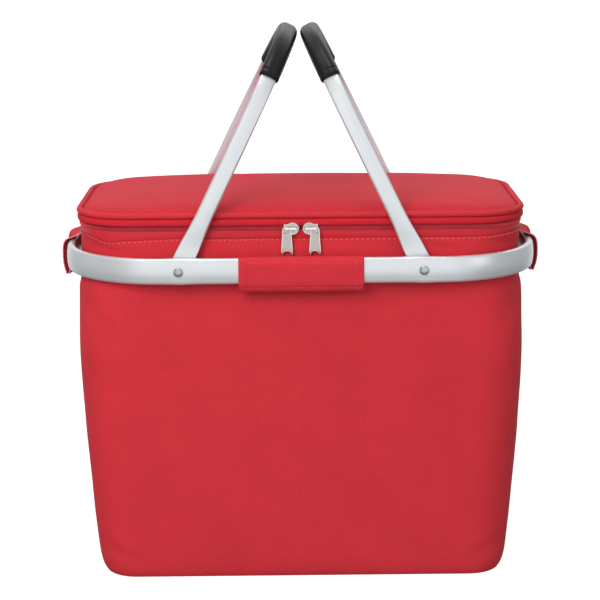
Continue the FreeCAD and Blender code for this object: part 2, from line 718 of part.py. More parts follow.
def make_slider(name, side):
    """Two plates on a web between the rows of teeth, with a bridge on two round posts in front."""
    made = new_body(name)
    across = "- slider_centre" if side < 0 else "slider_centre"

    def layer(tag, points, front, thick, level="slider_level"):
        made_sketch = sketch_on(made, "XZ_Plane", name + tag, (across, level, minus(front, thick)))
        polygon(made_sketch, mirrored(points, side))
        pad(made, made_sketch, thick)

    plate = [("- 7.6", "- 3.6"), ("- 6.8", "- 4.6"), ("- 1.6", "- 5.2"), ("2", "- 5.6"),
             ("5", "- 4.6"), ("7", "- 2.4"), ("7.6", "0"), ("7", "2.4"), ("5", "4.6"),
             ("2", "5.6"), ("- 1.6", "5.2"), ("- 6.8", "4.6"), ("- 7.6", "3.6")]
    layer("_front", plate, "plate_face + plate_thick", "plate_thick")
    web = [("- 5", "- web_half_tall"), ("6", "- web_half_tall"),
           ("6", "web_half_tall"), ("- 5", "web_half_tall")]
    layer("_web", web, "plate_face + 0.1", "plate_face + 0.1 - back_face")
    back = [("- 6.6", "- back_half_tall"), ("7", "- back_half_tall"),
            ("7", "back_half_tall"), ("- 6.6", "back_half_tall")]
    layer("_back", back, "back_face + back_thick", "back_thick")
    top = "bridge_axis + bridge_half"
    for tag, reach in (("_left_post", " - post_reach"), ("_right_post", " + post_reach")):
        post = sketch_on(made, "XZ_Plane", name + tag, (across + reach, "bridge_level", "plate_face + 0.5"))
        circle(post, "post_radius")
        pad(made, post, minus(top, "plate_face + 0.5"))
    bar = [("- bridge_end", "- bridge_half"), ("bridge_end", "- bridge_half"),
           ("bridge_end", "bridge_half"), ("- bridge_end", "bridge_half")]
    layer("_bar", bar, top, "bridge_half + bridge_half", "bridge_level")
    return keep(made)


def make_pull(name, side):
    """Flat pull that swings on the bridge's tail post, with a window round it and a hole at its end."""
    made = new_body(name)
    across = "- slider_centre - pull_centre" if side < 0 else "slider_centre + pull_centre"
    face = sketch_on(made, "XZ_Plane", name + "_outline", (across, "bridge_level", "pull_back"))
    polygon(face, mirrored([
        ("- 5.6", "- 23"), ("5.6", "- 23"), ("6", "- 21.5"), ("4.5", "- 4"), ("4.5", "1"),
        ("3.2", "2.2"), ("- 3.2", "2.2"), ("- 4.5", "1"), ("- 4.5", "- 4"), ("- 6", "- 21.5"),
    ], side), "outline_")
    polygon(face, mirrored([
        ("- 2.9", "- 2.8"), ("1.7", "- 2.8"), ("1.7", "1.5"), ("- 2.9", "1.5"),
    ], side), "window_")
    polygon(face, mirrored([
        ("- 4", "- 21.5"), ("4", "- 21.5"), ("3.2", "- 19.8"), ("- 3.2", "- 19.8"),
    ], side), "hole_")
    pad(made, face, "pull_thick")
    return keep(made)


make_slider("left_slider", -1)
make_slider("right_slider", 1)
make_pull("left_pull", -1)
make_pull("right_pull", 1)


# ---------------------------------------------------------------- check and write

doc.recompute()
faults = []
for item in doc.Objects:
    if {"Invalid", "Error"} & set(item.State):
        faults.append("%s is %s" % (item.Name, item.State))
for item in PARTS:
    if item.Shape.isNull() or not item.Shape.isValid():
        faults.append("%s has no valid shape" % item.Label)
if faults:
    raise RuntimeError("; ".join(faults))

os.makedirs("parts", exist_ok=True)
for item in PARTS:
    item.Shape.exportStep("parts/%s.step" % item.Label)
    box = item.Shape.BoundBox
    print("%-18s solids %d volume %9.1f  x %7.1f %7.1f  y %7.1f %7.1f  z %7.1f %7.1f" % (
        item.Label, len(item.Shape.Solids), item.Shape.Volume,
        box.XMin, box.XMax, box.YMin, box.YMax, box.ZMin, box.ZMax))
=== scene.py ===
"""Insulated cooler bag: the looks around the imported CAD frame.

Metres, +Z up; -Y is the front, where the two zip sliders meet. The walls' outlines are read from the CAD
nodes, and the other sizes repeat the design's own dimensions. Cloth is laid out in rows round the bag.
"""

import math

import bmesh
import bpy
import numpy as np
from mathutils import Matrix, Vector, noise
from mathutils.bvhtree import BVHTree

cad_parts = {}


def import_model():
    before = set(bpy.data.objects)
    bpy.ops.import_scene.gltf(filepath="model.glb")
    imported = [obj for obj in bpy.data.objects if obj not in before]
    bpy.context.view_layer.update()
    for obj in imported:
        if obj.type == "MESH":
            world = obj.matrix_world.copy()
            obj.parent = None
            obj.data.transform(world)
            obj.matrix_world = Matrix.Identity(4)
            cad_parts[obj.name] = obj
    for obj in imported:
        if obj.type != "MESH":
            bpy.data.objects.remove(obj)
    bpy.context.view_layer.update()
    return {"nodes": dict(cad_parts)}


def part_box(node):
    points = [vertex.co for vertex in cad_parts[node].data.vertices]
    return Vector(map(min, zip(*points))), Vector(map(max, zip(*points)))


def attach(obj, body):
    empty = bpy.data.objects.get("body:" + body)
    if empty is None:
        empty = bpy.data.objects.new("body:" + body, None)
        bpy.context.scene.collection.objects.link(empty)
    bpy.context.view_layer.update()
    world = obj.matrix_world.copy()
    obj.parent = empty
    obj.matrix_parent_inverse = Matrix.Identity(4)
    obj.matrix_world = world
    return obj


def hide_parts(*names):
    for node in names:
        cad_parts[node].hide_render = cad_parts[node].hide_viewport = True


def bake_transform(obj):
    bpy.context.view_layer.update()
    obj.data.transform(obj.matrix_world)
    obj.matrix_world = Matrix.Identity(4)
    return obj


MM = 0.001

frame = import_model()


# ---------------------------------------------------------------- outlines seen from above

class Outline:
    """Rounded rectangle. Distance s runs anticlockwise from the middle of the front."""

    def __init__(self, half_x, half_y, corner):
        self.half_x, self.half_y, self.corner = half_x, half_y, corner
        front, side, bend = half_x - corner, 2 * (half_y - corner), corner * math.pi / 2
        self.lengths = np.array([front, bend, side, bend, 2 * front, bend, side, bend, front])
        self.starts = np.concatenate([[0.0], np.cumsum(self.lengths)])
        self.length = float(self.starts[-1])

    def inset(self, amount):
        return Outline(self.half_x - amount, self.half_y - amount, max(self.corner - amount, 0.002))

    def at(self, s):
        """Points and outward normals at distances s, as two arrays of shape (n, 2)."""
        s = np.mod(np.asarray(s, float), self.length)
        k = np.clip(np.searchsorted(self.starts, s, side="right") - 1, 0, 8)
        t = s - self.starts[k]
        base = -math.pi / 2 + (k // 2) * math.pi / 2
        angle = np.where(k % 2 == 1, base + t / self.corner, base)
        normal = np.stack([np.cos(angle), np.sin(angle)], axis=1)
        flat_x, flat_y = self.half_x - self.corner, self.half_y - self.corner
        centres = np.array([[flat_x, -flat_y], [flat_x, flat_y], [-flat_x, flat_y], [-flat_x, -flat_y]])
        before = np.where(k % 2 == 1, (k - 1) // 2, k // 2 - 1)
        points = centres[np.clip(before, 0, 3)] + self.corner * normal
        points[k == 0] = [0.0, -self.half_y]
        points += np.where(k % 2 == 0, t, 0.0)[:, None] * sideways(normal)
        return points, normal

    def columns(self, front=52, bend=26, side=26):
        """Distances of a grid's columns, with the same number of steps on every outline."""
        steps = [front, bend, side, bend, 2 * front, bend, side, bend, front]
        runs = zip(self.starts, self.lengths, steps)
        return np.concatenate([start + length * np.arange(n) / n for start, length, n in runs])

    def signed(self, s):
        """Distance from the middle of the front: positive to the right, negative to the left."""
        s = np.mod(s, self.length)
        return np.where(s > self.length / 2, s - self.length, s)


def sideways(normals):
    """Directions a quarter turn anticlockwise from the given ones."""
    return np.stack([-normals[:, 1], normals[:, 0]], axis=1)


def lifted(points, z):
    """Plan points at height z, which is one number or one for each point."""
    return np.column_stack([points, np.zeros(len(points)) + z])


def inner_loop(outline, inset, counts=()):
    """Plan points of an outline drawn in by inset."""
    loop = outline.inset(inset)
    return loop.at(loop.columns(*counts))[0]


def cad_tree(node):
    """Search tree over a CAD node's faces."""
    mesh = frame["nodes"][node].data
    return BVHTree.FromPolygons([v.co for v in mesh.vertices], [tuple(p.vertices) for p in mesh.polygons])


def outline_at(tree, z):
    """Outline of a CAD wall at height z, found by rays that come in from outside."""
    half_x = tree.ray_cast(Vector((1, 0, z)), Vector((-1, 0, 0)))[0].x
    half_y = -tree.ray_cast(Vector((0, -1, z)), Vector((0, 1, 0)))[0].y
    hit = tree.ray_cast(Vector((half_x + 0.2, -half_y - 0.2, z)), Vector((-1, 1, 0)).normalized())[0]
    return half_x, half_y, (half_x - hit.x) / (1 - math.sqrt(0.5))


def smoothed(values, reach=3):
    """Running mean over `reach` neighbours on each side; the ends stay as they are."""
    padded = np.pad(values, reach, mode="reflect", reflect_type="odd")
    return np.convolve(padded, np.ones(2 * reach + 1) / (2 * reach + 1), mode="valid")


def wall_outlines(node, heights):
    """Outline of a CAD wall at each height, with its kinks eased."""
    tree = cad_tree(node)
    sizes = np.array([outline_at(tree, z) for z in heights])
    return [Outline(*row) for row in np.column_stack([smoothed(sizes[:, k]) for k in range(3)])]


# ---------------------------------------------------------------- shaping

def bump(x, centre, width):
    return np.exp(-(((x - centre) / width) ** 2))


def step(x, start, end):
    """Smooth step from 0 at start to 1 at end."""
    t = np.clip((np.asarray(x, float) - start) / (end - start), 0, 1)
    return t * t * (3 - 2 * t)


def soft_noise(points, size, seed):
    """Smooth noise of about -1 to 1 at each point, with features of the given size."""
    shift = Vector((3.7 * seed, 1.3 * seed, 7.1 * seed))
    flat = np.asarray(points, float).reshape(-1, 3) / size
    return np.array([noise.noise(Vector(p) + shift) for p in flat]).reshape(np.shape(points)[:-1])


def circle(sides):
    return np.arange(sides) * 2 * math.pi / sides


def smooth_line(points, count, closed=False):
    """Evenly spaced points on a Catmull-Rom curve through the given ones."""
    p = np.asarray(points, float)
    ends = (p[-1:], p[:2]) if closed else (2 * p[:1] - p[1:2], 2 * p[-1:] - p[-2:-1])
    p = np.concatenate([ends[0], p, ends[1]])
    t = np.linspace(0, 1, 24, endpoint=False)[:, None]
    fine = []
    for a, b, c, d in zip(p, p[1:], p[2:], p[3:]):
        bend = (2 * a - 5 * b + 4 * c - d) * t ** 2 + (3 * b - a - 3 * c + d) * t ** 3
        fine.append(0.5 * (2 * b + (c - a) * t + bend))
    fine = np.concatenate(fine + [p[-2:-1]])
    run = np.concatenate([[0], np.cumsum(np.linalg.norm(np.diff(fine, axis=0), axis=1))])
    want = np.linspace(0, run[-1], count + 1)[:-1] if closed else np.linspace(0, run[-1], count)
    return np.column_stack([np.interp(want, run, fine[:, k]) for k in range(fine.shape[1])])


def line_normals(line):
    """Unit normals of a closed line, to the right of its direction."""
    tangent = np.roll(line, -1, axis=0) - np.roll(line, 1, axis=0)
    return -sideways(tangent) / np.linalg.norm(tangent, axis=1)[:, None]


def rounded_section(half_thick, half_tall, corner, arc_steps=7, flat_steps=6, crown=0.0):
    """Closed flat-oval section as (outwards, up) points; crown swells its two flat faces."""
    out = []
    for side, up, start in [(1, -1, -90), (1, 1, 0), (-1, 1, 90), (-1, -1, 180)]:
        cx, cy = side * (half_thick - corner), up * (half_tall - corner)
        for angle in np.radians(start + np.linspace(0, 90, arc_steps)):
            out.append((cx + corner * math.cos(angle), cy + corner * math.sin(angle)))
        if side == -up:
            rise = 2 * (half_tall - corner) * side
            for t in np.arange(1, flat_steps) / flat_steps:
                out.append((side * (half_thick + crown * 4 * t * (1 - t)), (t - 0.5) * rise))
    return np.array(out)


# ---------------------------------------------------------------- meshes

def new_object(name, points, faces, material, body, uv=None):
    """Smooth mesh object with one material; it rides on a CAD body if one is named."""
    mesh = bpy.data.meshes.new(name)
    mesh.from_pydata(np.reshape(points, (-1, 3)).tolist(), [], [list(map(int, f)) for f in faces])
    if uv is not None:
        mesh.uv_layers.new(name="cloth").data.foreach_set("uv", np.asarray(uv, np.float32).ravel())
    mesh.polygons.foreach_set("use_smooth", [True] * len(mesh.polygons))
    mesh.materials.append(material)
    made = bpy.data.objects.new(name, mesh)
    bpy.context.scene.collection.objects.link(made)
    if body:
        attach(made, body)
    return made


def grid_faces(n, m, closed=True, closed_rows=False):
    """Quads over n rows of m points; closed joins each row's ends, closed_rows the last row to the first."""
    counts = (n if closed_rows else n - 1, m if closed else m - 1)
    i, j = (k.ravel() for k in np.indices(counts))
    up, right = (i + 1) % n, (j + 1) % m
    return np.stack([i * m + j, i * m + right, up * m + right, up * m + j], axis=1)


def grid_object(name, rows, material, body, closed=True, closed_rows=False):
    """Cloth or tube over rows of points, with a UV map in metres along the cloth."""
    rows = np.asarray(rows, float)
    n, m = rows.shape[:2]
    gaps = [np.linalg.norm(np.roll(rows, -1, axis=k) - rows, axis=2).mean(1 - k) for k in (1, 0)]
    u, v = (np.concatenate([[0], np.cumsum(gap)]) for gap in gaps)
    faces = grid_faces(n, m, closed, closed_rows)
    i, j = faces[:, 0] // m, faces[:, 0] % m
    corners = ((0, 0), (1, 0), (1, 1), (0, 1))
    uv = np.stack([np.stack([u[j + right], v[i + up]], 1) for right, up in corners], axis=1)
    return new_object(name, rows, faces, material, body, uv)


def ring_rows(outline, profile, columns=None):
    """Rows round an outline; the profile is a list of (outwards, height) from the outline."""
    points, normals = outline.at(outline.columns() if columns is None else columns)
    return np.array([lifted(points + out * normals, z) for out, z in profile])


def cap_faces(m, first):
    """Faces that close the innermost loop, from each front column to its twin at the back."""
    reach = range(-(m // 4), m // 4 + 1)
    front, back = [k % m for k in reach], [(m // 2 - k) % m for k in reach]
    strips = [list(dict.fromkeys(quad)) for quad in zip(front, front[1:], back[1:], back)]
    return [[first + k for k in strip] for strip in strips if len(strip) > 2]


def capped_faces(n, m, floor=False, top=True):
    """Quads round n loops of m points, closed across the last loop, the first or both."""
    faces = grid_faces(n, m).tolist()
    if top:
        faces += cap_faces(m, (n - 1) * m)
    return faces + (flipped(cap_faces(m, 0)) if floor else [])


def flipped(faces):
    return [face[::-1] for face in faces]


def nested_object(name, outline, insets, height, material, body, downwards=False):
    """Sheet across an outline, in loops drawn in by each inset; height gives z from points and inset."""
    plans = [inner_loop(outline, inset) for inset in insets]
    rows = np.array([lifted(points, height(points, inset)) for points, inset in zip(plans, insets)])
    faces = capped_faces(*rows.shape[:2])
    if downwards:
        faces = flipped(faces)
    uv = rows.reshape(-1, 3)[np.concatenate(faces), :2]
    return new_object(name, rows, faces, material, body, uv)


def panel_insets(half_width, close=0.004, wide=0.008):
    """Insets from the edge to just short of the middle line, closer together near the edge."""
    near = np.arange(0, 0.024, close)
    return np.concatenate([near, np.arange(0.024, half_width - 0.003, wide), [half_width - 0.002]])


def joined(name, parts, material, body):
    """One mesh from several (points, faces) parts."""
    points, faces = [], []
    for part_points, part_faces in parts:
        faces += [[int(c) + len(points) for c in f] for f in part_faces]
        points += np.reshape(part_points, (-1, 3)).tolist()
    return new_object(name, points, faces, material, body)


def small_ring(centres, across, up, wide, tall, sides=6):
    """Ring of points round each centre."""
    turn = circle(sides)
    return (centres[:, None] + across[:, None] * (np.cos(turn) * wide)[None, :, None]
            + up[:, None] * (np.sin(turn) * tall)[None, :, None])


def short_tubes(name, rings, material, body, capped=False):
    """Many short tubes in one mesh; rings holds one small_ring for each step along them."""
    points = np.stack(rings, axis=1)
    count, steps, sides = points.shape[:3]
    one = grid_faces(steps, sides).tolist()
    if capped:
        one += [list(range(sides))[::-1], list(range((steps - 1) * sides, steps * sides))]
    faces = [[c + k * steps * sides for c in face] for k in range(count) for face in one]
    return new_object(name, points, faces, material, body)


def stitches(name, starts, ends, normals, radius, material, body):
    """Short thread stitches: each rises out of the cloth at one end and dips back in at the other."""
    starts, ends, normals = (np.asarray(a, float) for a in (starts, ends, normals))
    along = ends - starts
    across = np.cross(normals, along)
    across /= np.linalg.norm(across, axis=1)[:, None]
    rings = []
    for t in (0.0, 0.12, 0.35, 0.65, 0.88, 1.0):
        arch = math.sin(math.pi * t) ** 0.6 if 0 < t < 1 else 0.0
        size = radius * (0.45 + 0.55 * arch)
        lift = radius * (-0.9 + 1.35 * arch)
        rings.append(small_ring(starts + along * t + normals * lift, across, normals, size, size))
    short_tubes(name, rings, material, body)


def stitch_row(name, outline, level, pitch, length, radius, material, body, out, reach):
    """Stitches round an outline, as far as reach on both sides; level gives height from signed distance."""
    starts = np.arange(-reach, reach - length, pitch)

    def place(s):
        points, normals = outline.at(s)
        return lifted(points + out * normals, level(outline.signed(s))), lifted(normals, 0)

    first, normals = place(starts)
    stitches(name, first, place(starts + length)[0], normals, radius, material, body)


def face_outwards(made, ends=()):
    """Close the loops of points listed in ends, and turn every face outwards."""
    mesh = bmesh.new()
    mesh.from_mesh(made.data)
    mesh.verts.ensure_lookup_table()
    for loop in ends:
        mesh.faces.new([mesh.verts[k] for k in loop]).smooth = True
    bmesh.ops.recalc_face_normals(mesh, faces=mesh.faces)
    mesh.to_mesh(made.data)
    mesh.free()


def record(made, node=None):
    """Hide the CAD node that a piece stands for, if one is named."""
    if node:
        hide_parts(node)


def thicken(made, thickness, edge=None):
    """Grow a sheet inwards to its thickness; edge is the material of its cut edges."""
    solid = made.modifiers.new("thickness", "SOLIDIFY")
    solid.thickness, solid.offset = thickness, -1.0
    if edge:
        made.data.materials.append(edge)
        solid.material_offset_rim = 1


def finish_sheet(made, node):
    record(made, node)


def finish_foam(made, node):
    record(made, node)


# ---------------------------------------------------------------- materials

class Nodes:
    """Short calls for adding and joining the nodes of a material or a world."""

    def __init__(self, owner):
        owner.use_nodes = True
        self.tree = owner.node_tree

    def set(self, node, inputs):
        for key, value in inputs.items():
            socket = node.inputs[key.replace("_", " ") if isinstance(key, str) else key]
            if isinstance(value, bpy.types.NodeSocket):
                self.tree.links.new(value, socket)
            else:
                socket.default_value = value

    def add(self, kind, inputs=None, out=0, **settings):
        node = self.tree.nodes.new("ShaderNode" + kind)
        for key, value in settings.items():
            setattr(node, key, value)
        self.set(node, inputs or {})
        return node.outputs[out]

    def math(self, operation, a, b=0.0):
        return self.add("Math", {0: a, 1: b}, operation=operation)


class Shader(Nodes):
    """A material round one Principled shader."""

    def __init__(self, name, **inputs):
        self.material = bpy.data.materials.new(name)
        super().__init__(self.material)
        self.finish(**inputs)

    def finish(self, **inputs):
        self.set(self.tree.nodes["Principled BSDF"], inputs)
        return self.material

    def place(self, size, across=None, cloth=True):
        """Texture place in cells of a given size, along the cloth's own UV map or in the object's space."""
        source = self.add("UVMap", uv_map="cloth") if cloth else self.add("TexCoord", out=3)
        return self.add("Mapping", {"Vector": source, "Scale": (1 / size, *[1 / (across or size)] * 2)})

    def grain(self, place, detail=3.0, roughness=0.55):
        return self.add("TexNoise", {"Vector": place, "Scale": 1.0, "Detail": detail, "Roughness": roughness})

    def ridges(self, distance):
        """Rounded ridges, one for each cell."""
        return self.math("ABSOLUTE", self.math("SINE", self.math("MULTIPLY", distance, math.pi)))

    def blend(self, a, share_a, b, share_b=1.0):
        return self.math("ADD", self.math("MULTIPLY", a, share_a), self.math("MULTIPLY", b, share_b))

    def tint(self, factor, low, high, colour, dark, light):
        """The colour times dark to the colour times light, as factor goes from low to high."""
        share = self.add("MapRange", {0: factor, 1: low, 2: high})
        ends = {0: share, 6: (*lighter(colour, dark), 1), 7: (*lighter(colour, light), 1)}
        return self.add("Mix", ends, out=2, data_type="RGBA")

    def relief(self, height, depth, strength):
        return self.add("Bump", {"Height": height, "Distance": depth, "Strength": strength})


def lighter(colour, times):
    return tuple(min(c * times, 1.0) for c in colour)


def woven(name, colour, thread=1.2 * MM, sheen=0.06, mottle=0.13):
    """Plain-woven polyester: over-and-under threads, fine fuzz and a slow change of shade."""
    made = Shader(name, Roughness=0.66, Sheen_Weight=sheen, Sheen_Roughness=0.45, IOR=1.45,
                  Specular_IOR_Level=0.22, Sheen_Tint=(*lighter(colour, 1.6), 1))
    place = made.place(thread)
    axes = made.add("SeparateXYZ", {0: place})
    over = made.add("TexChecker", {"Vector": place, "Scale": 1.0}, out=1)
    threads = {0: over, 2: made.ridges(axes), 3: made.ridges(axes.node.outputs[1])}
    weave = made.add("Mix", threads, data_type="FLOAT")
    fuzz = made.grain(made.place(thread * 1.5), detail=4)
    slow = made.grain(made.place(0.055), detail=2)
    shade = made.blend(weave, 0.45, made.blend(fuzz, 0.75, slow, 0.6))
    return made.finish(Base_Color=made.tint(shade, 0.55, 1.35, colour, 1 - mottle, 1 + mottle),
                       Normal=made.relief(made.blend(fuzz, 0.8, weave), 0.35 * MM, 0.55))


def ribbed(name, colour, rib=0.9 * MM):
    """Zip tape: a tighter weave with ribs along its length."""
    made = Shader(name, Roughness=0.5, Sheen_Weight=0.2, Sheen_Roughness=0.4, Specular_IOR_Level=0.35)
    axes = made.add("SeparateXYZ", {0: made.place(rib * 1.3, rib)})
    knit = made.blend(made.ridges(axes), 0.4, made.ridges(axes.node.outputs[1]))
    height = made.math("ADD", knit, made.grain(made.place(rib), detail=4))
    return made.finish(Base_Color=made.tint(height, 0.6, 2.0, colour, 0.82, 1.1),
                       Normal=made.relief(height, 0.18 * MM, 0.6))


def satin_metal(name, colour, roughness, drawn=False, metallic=1.0):
    """Metal with a fine surface; a drawn tube has faint streaks along it."""
    made = Shader(name, Metallic=metallic)
    place = made.place(0.5 * MM, 0.06) if drawn else made.place(1.2 * MM, cloth=False)
    streak = made.grain(place)
    mixed = made.blend(streak, 0.6, made.grain(made.place(0.03, cloth=drawn), detail=2), 0.4)
    spread = {0: mixed, 1: 0.3, 2: 0.7, 3: roughness * 0.94, 4: roughness * 1.06}
    made.finish(Base_Color=made.tint(mixed, 0.3, 0.7, colour, 0.95, 1.04),
                Roughness=made.add("MapRange", spread))
    if drawn:
        made.finish(Normal=made.relief(streak, 0.04 * MM, 0.03))
    return made.material


def moulded(name, colour, roughness, grain=0.8 * MM, depth=0.06 * MM, **inputs):
    """Moulded plastic, rubber, foam or film with a fine grain."""
    made = Shader(name, Roughness=roughness, **inputs)
    speck = made.grain(made.place(grain, cloth=False), detail=4, roughness=0.7)
    mixed = made.blend(speck, 0.6, made.grain(made.place(0.02, cloth=False), detail=2), 0.4)
    return made.finish(Base_Color=made.tint(mixed, 0.3, 0.7, colour, 0.88, 1.12),
                       Normal=made.relief(speck, depth, 0.7))


RED = (0.64, 0.031, 0.043)
FABRIC = woven("red polyester", RED)
# The lid's cloth is the body's red darkened by 0.84: painted shade against the stronger light on its top
SHADED_LID_FABRIC = woven("red lid polyester with painted shade", lighter(RED, 0.84), sheen=0.34)
PIPING_FABRIC = woven("piping fabric", lighter(RED, 0.95), thread=0.8 * MM)
BAND_FABRIC = woven("lid band", (0.62, 0.019, 0.033), thread=0.9 * MM)
TAPE = ribbed("zip tape", (0.60, 0.019, 0.032))
# Near-black copy of the zip tape: painted shade in the gap behind the teeth
TAPE_PAINTED_SHADE = ribbed("zip tape painted shade", (0.09, 0.003, 0.006))
BINDING = ribbed("binding tape", (0.30, 0.012, 0.020))
EDGE = moulded("raw fabric edge", (0.86, 0.28, 0.30), 0.8)
THREAD = moulded("red thread", (0.68, 0.048, 0.066), 0.45, grain=0.4 * MM)
PALE_THREAD = moulded("pale thread", (0.80, 0.15, 0.18), 0.5, grain=0.4 * MM)
TEETH = moulded("nylon coil", (0.84, 0.060, 0.085), 0.40, grain=0.5 * MM, Specular_IOR_Level=0.35)
ALUMINIUM = satin_metal("satin aluminium", (0.80, 0.82, 0.835), 0.30, drawn=True, metallic=0.66)
RIVET = satin_metal("rivet aluminium", (0.62, 0.68, 0.70), 0.36)
NICKEL = satin_metal("nickel-plated zinc", (0.98, 0.93, 0.90), 0.26)
# Rougher copy of the nickel for recessed faces, its colour darkened as painted shade
SHADED_DULL_NICKEL = satin_metal("tumbled nickel with painted shade", (0.74, 0.72, 0.655), 0.42)
RUBBER = moulded("black grip rubber", (0.006, 0.006, 0.0065), 0.36, grain=0.6 * MM, depth=0.03 * MM,
                 Specular_IOR_Level=0.30)
NYLON = moulded("black nylon", (0.02, 0.02, 0.022), 0.45)
FOAM = moulded("closed-cell foam", (0.80, 0.80, 0.77), 0.9, grain=1.6 * MM, depth=0.2 * MM)
BOARD = moulded("base board", (0.42, 0.40, 0.36), 0.75, grain=2 * MM, depth=0.1 * MM)
LINING = moulded("silver lining film", (0.70, 0.71, 0.73), 0.32, grain=4 * MM, depth=0.6 * MM, Metallic=0.55)

CAD_FINISHES = {
    "base_board": BOARD, "rivet_spacers": NYLON, "splice_plug_front": NYLON, "splice_plug_rear": NYLON,
}


# ---------------------------------------------------------------- bag walls

BAG_RIM = Outline(0.206, 0.103, 0.050)
SHELL_FOOT, SHELL_TOP = (corner.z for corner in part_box("outer_shell"))
FABRIC_THICK = 0.9 * MM
FOAM_COLUMNS = (30, 14, 14)
LINING_COLUMNS = (44, 22, 22)

# Wrinkles of the collar and below the frame: start and end as (distance from the front's middle, height),
# then their width and depth in millimetres
WRINKLES = [
    ((-0.226, 0.3290), (-0.168, 0.3185), 3.4, 0.8),
    ((-0.212, 0.3190), (-0.140, 0.3160), 4.2, 0.45),
    ((0.110, 0.3225), (0.150, 0.3170), 3.0, 0.6),
    ((0.176, 0.3240), (0.214, 0.3170), 3.2, 0.8),
    ((0.206, 0.3265), (0.222, 0.3160), 2.8, 0.5),
    ((-0.120, 0.2800), (-0.060, 0.2580), 9, 0.7),
    ((0.118, 0.2790), (0.062, 0.2600), 9, 0.6),
    ((-0.215, 0.2860), (-0.178, 0.2300), 10, 0.9),
    ((0.216, 0.2840), (0.180, 0.2350), 10, 0.8),
    ((-0.196, 0.0350), (-0.150, 0.0140), 7, 0.8),
    ((0.150, 0.0130), (0.200, 0.0380), 7, 0.7),
]


def seam_height(side):
    """Top edge of the outer fabric: it climbs a little at the corners and sags on the left of the front."""
    height = SHELL_TOP + 0.7 * MM + 1.6 * MM * step(np.abs(side), 0.160, 0.215)
    return height - 3.6 * MM * bump(side, -0.178, 0.014) - 1.2 * MM * bump(side, -0.150, 0.018)


def crease(side, z, start, end, width, depth):
    """Groove along a line on the wall, deepest in its middle, with a soft ridge above it."""
    run = np.array(end) - np.array(start)
    length = float(np.hypot(*run))
    along = ((side - start[0]) * run[0] + (z - start[1]) * run[1]) / length ** 2
    off = ((side - start[0]) * -run[1] + (z - start[1]) * run[0]) / length
    fade = step(along, -0.15, 0.35) * (1 - step(along, 0.65, 1.15))
    return fade * depth * (0.7 * bump(off, 1.5 * width, width) - bump(off, 0, width))


def wall_relief(points, side, half_length):
    """How far the fabric stands out from the foam behind it; wrinkles on the right repeat at the back."""
    z = points[:, 2]
    swell = 1.1 * MM * soft_noise(points * [1, 1, 0.5], 0.10, 1) + 0.35 * MM * soft_noise(points, 0.034, 2)
    relief = swell * step(z, 0.004, 0.030) * (1 - step(z, 0.318, 0.327))
    ends = step(np.abs(points[:, 0]), 0.150, 0.200)
    relief += 2.4 * MM * ends * step(z, 0.110, 0.210) * (1 - step(z, 0.274, 0.289))
    for start, end, width, depth in WRINKLES:
        relief += crease(side, z, start, end, width * MM, depth * MM)
        if start[0] > 0:
            relief += crease(half_length - np.abs(side), z, start, end, width * MM, 0.7 * depth * MM)
    return relief


def make_shell():
    """Outer fabric of the bag, from its turned-in foot to the hem under the zip tape."""
    heights = np.concatenate([[0.0015, 0.003, 0.005, 0.0075, 0.0105, 0.014, 0.018],
                              np.linspace(0.022, 0.300, 76), np.linspace(0.302, SHELL_TOP - 0.0002, 18)])
    rows = []
    for outline, z in zip(wall_outlines("outer_shell", heights), heights):
        s = outline.columns()
        side = outline.signed(s)
        points, normals = outline.at(s)
        level = z + (seam_height(side) - SHELL_TOP) * step(z, 0.296, SHELL_TOP)
        out = wall_relief(lifted(points, level), side, outline.length / 2)
        rows.append(lifted(points + out[:, None] * normals, level))
    foot = Outline(*outline_at(cad_tree("outer_shell"), SHELL_FOOT + 0.0002))
    under = ring_rows(foot, [(-3.2 * MM, 0.35 * MM), (-1.6 * MM, 0.10 * MM), (-0.4 * MM, 0.55 * MM)])
    inwards = -lifted(BAG_RIM.at(BAG_RIM.columns())[1], 0)
    hem = [rows[-1] + [0, 0, up * MM] + back * MM * inwards for back, up in ((0.25, 0.35), (0.7, 0.45))]
    made = grid_object("outer_shell_fabric", np.concatenate([under, rows, hem]), FABRIC, "bag")
    thicken(made, FABRIC_THICK)
    finish_sheet(made, "outer_shell")


def make_base():
    """Bottom panel, sewn inside out to the walls."""
    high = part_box("base_panel")[1]

    def height(points, inset):
        lift = 0.25 * MM * np.abs(soft_noise(lifted(points, 0), 0.05, 5))
        return 0.05 * MM + 0.5 * MM * np.exp(-inset / 0.003) + lift * step(inset, 0.0, 0.02)

    outline = Outline(high.x, high.y, 0.030)
    made = nested_object("base_panel_fabric", outline, panel_insets(high.y), height, FABRIC, "bag",
                         downwards=True)
    thicken(made, FABRIC_THICK)
    finish_sheet(made, "base_panel")


def make_shell_stitching():
    """Topstitching along the hem under the zip."""
    stitch_row("collar_stitching", BAG_RIM, lambda side: seam_height(side) - 1.1 * MM, 4.85 * MM, 2.3 * MM,
               0.38 * MM, PALE_THREAD, "bag", out=0.05 * MM, reach=BAG_RIM.length / 2)


def make_wall_foam():
    """Foam wall between fabric and lining, with softly rounded edges; it thins out above the frame."""
    low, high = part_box("wall_foam")
    heights = np.linspace(low.z + 0.0005, high.z - 0.0005, 40)
    outer, inner = [], []
    for outline, z in zip(wall_outlines("wall_foam", heights), heights):
        slack = (-0.3 - 3.0 * float(step(z, 0.286, 0.304))) * MM
        rows = ring_rows(outline, [(slack, z), (-4.8 * MM, z)], outline.columns(*FOAM_COLUMNS))
        outer.append(rows[0])
        inner.append(rows[1])
    top = [outer[-1] * k + inner[-1] * (1 - k) + [0, 0, 0.4 * MM] for k in (0.85, 0.5, 0.15)]
    rows = np.concatenate([outer, top, inner[::-1]])
    finish_foam(grid_object("wall_foam_pad", rows, FOAM, "bag", closed_rows=True), "wall_foam")


def foam_block(name, node, rows, body):
    rows = np.array(rows)
    faces = capped_faces(*rows.shape[:2], floor=True)
    finish_foam(new_object(name, rows, faces, FOAM, body), node)


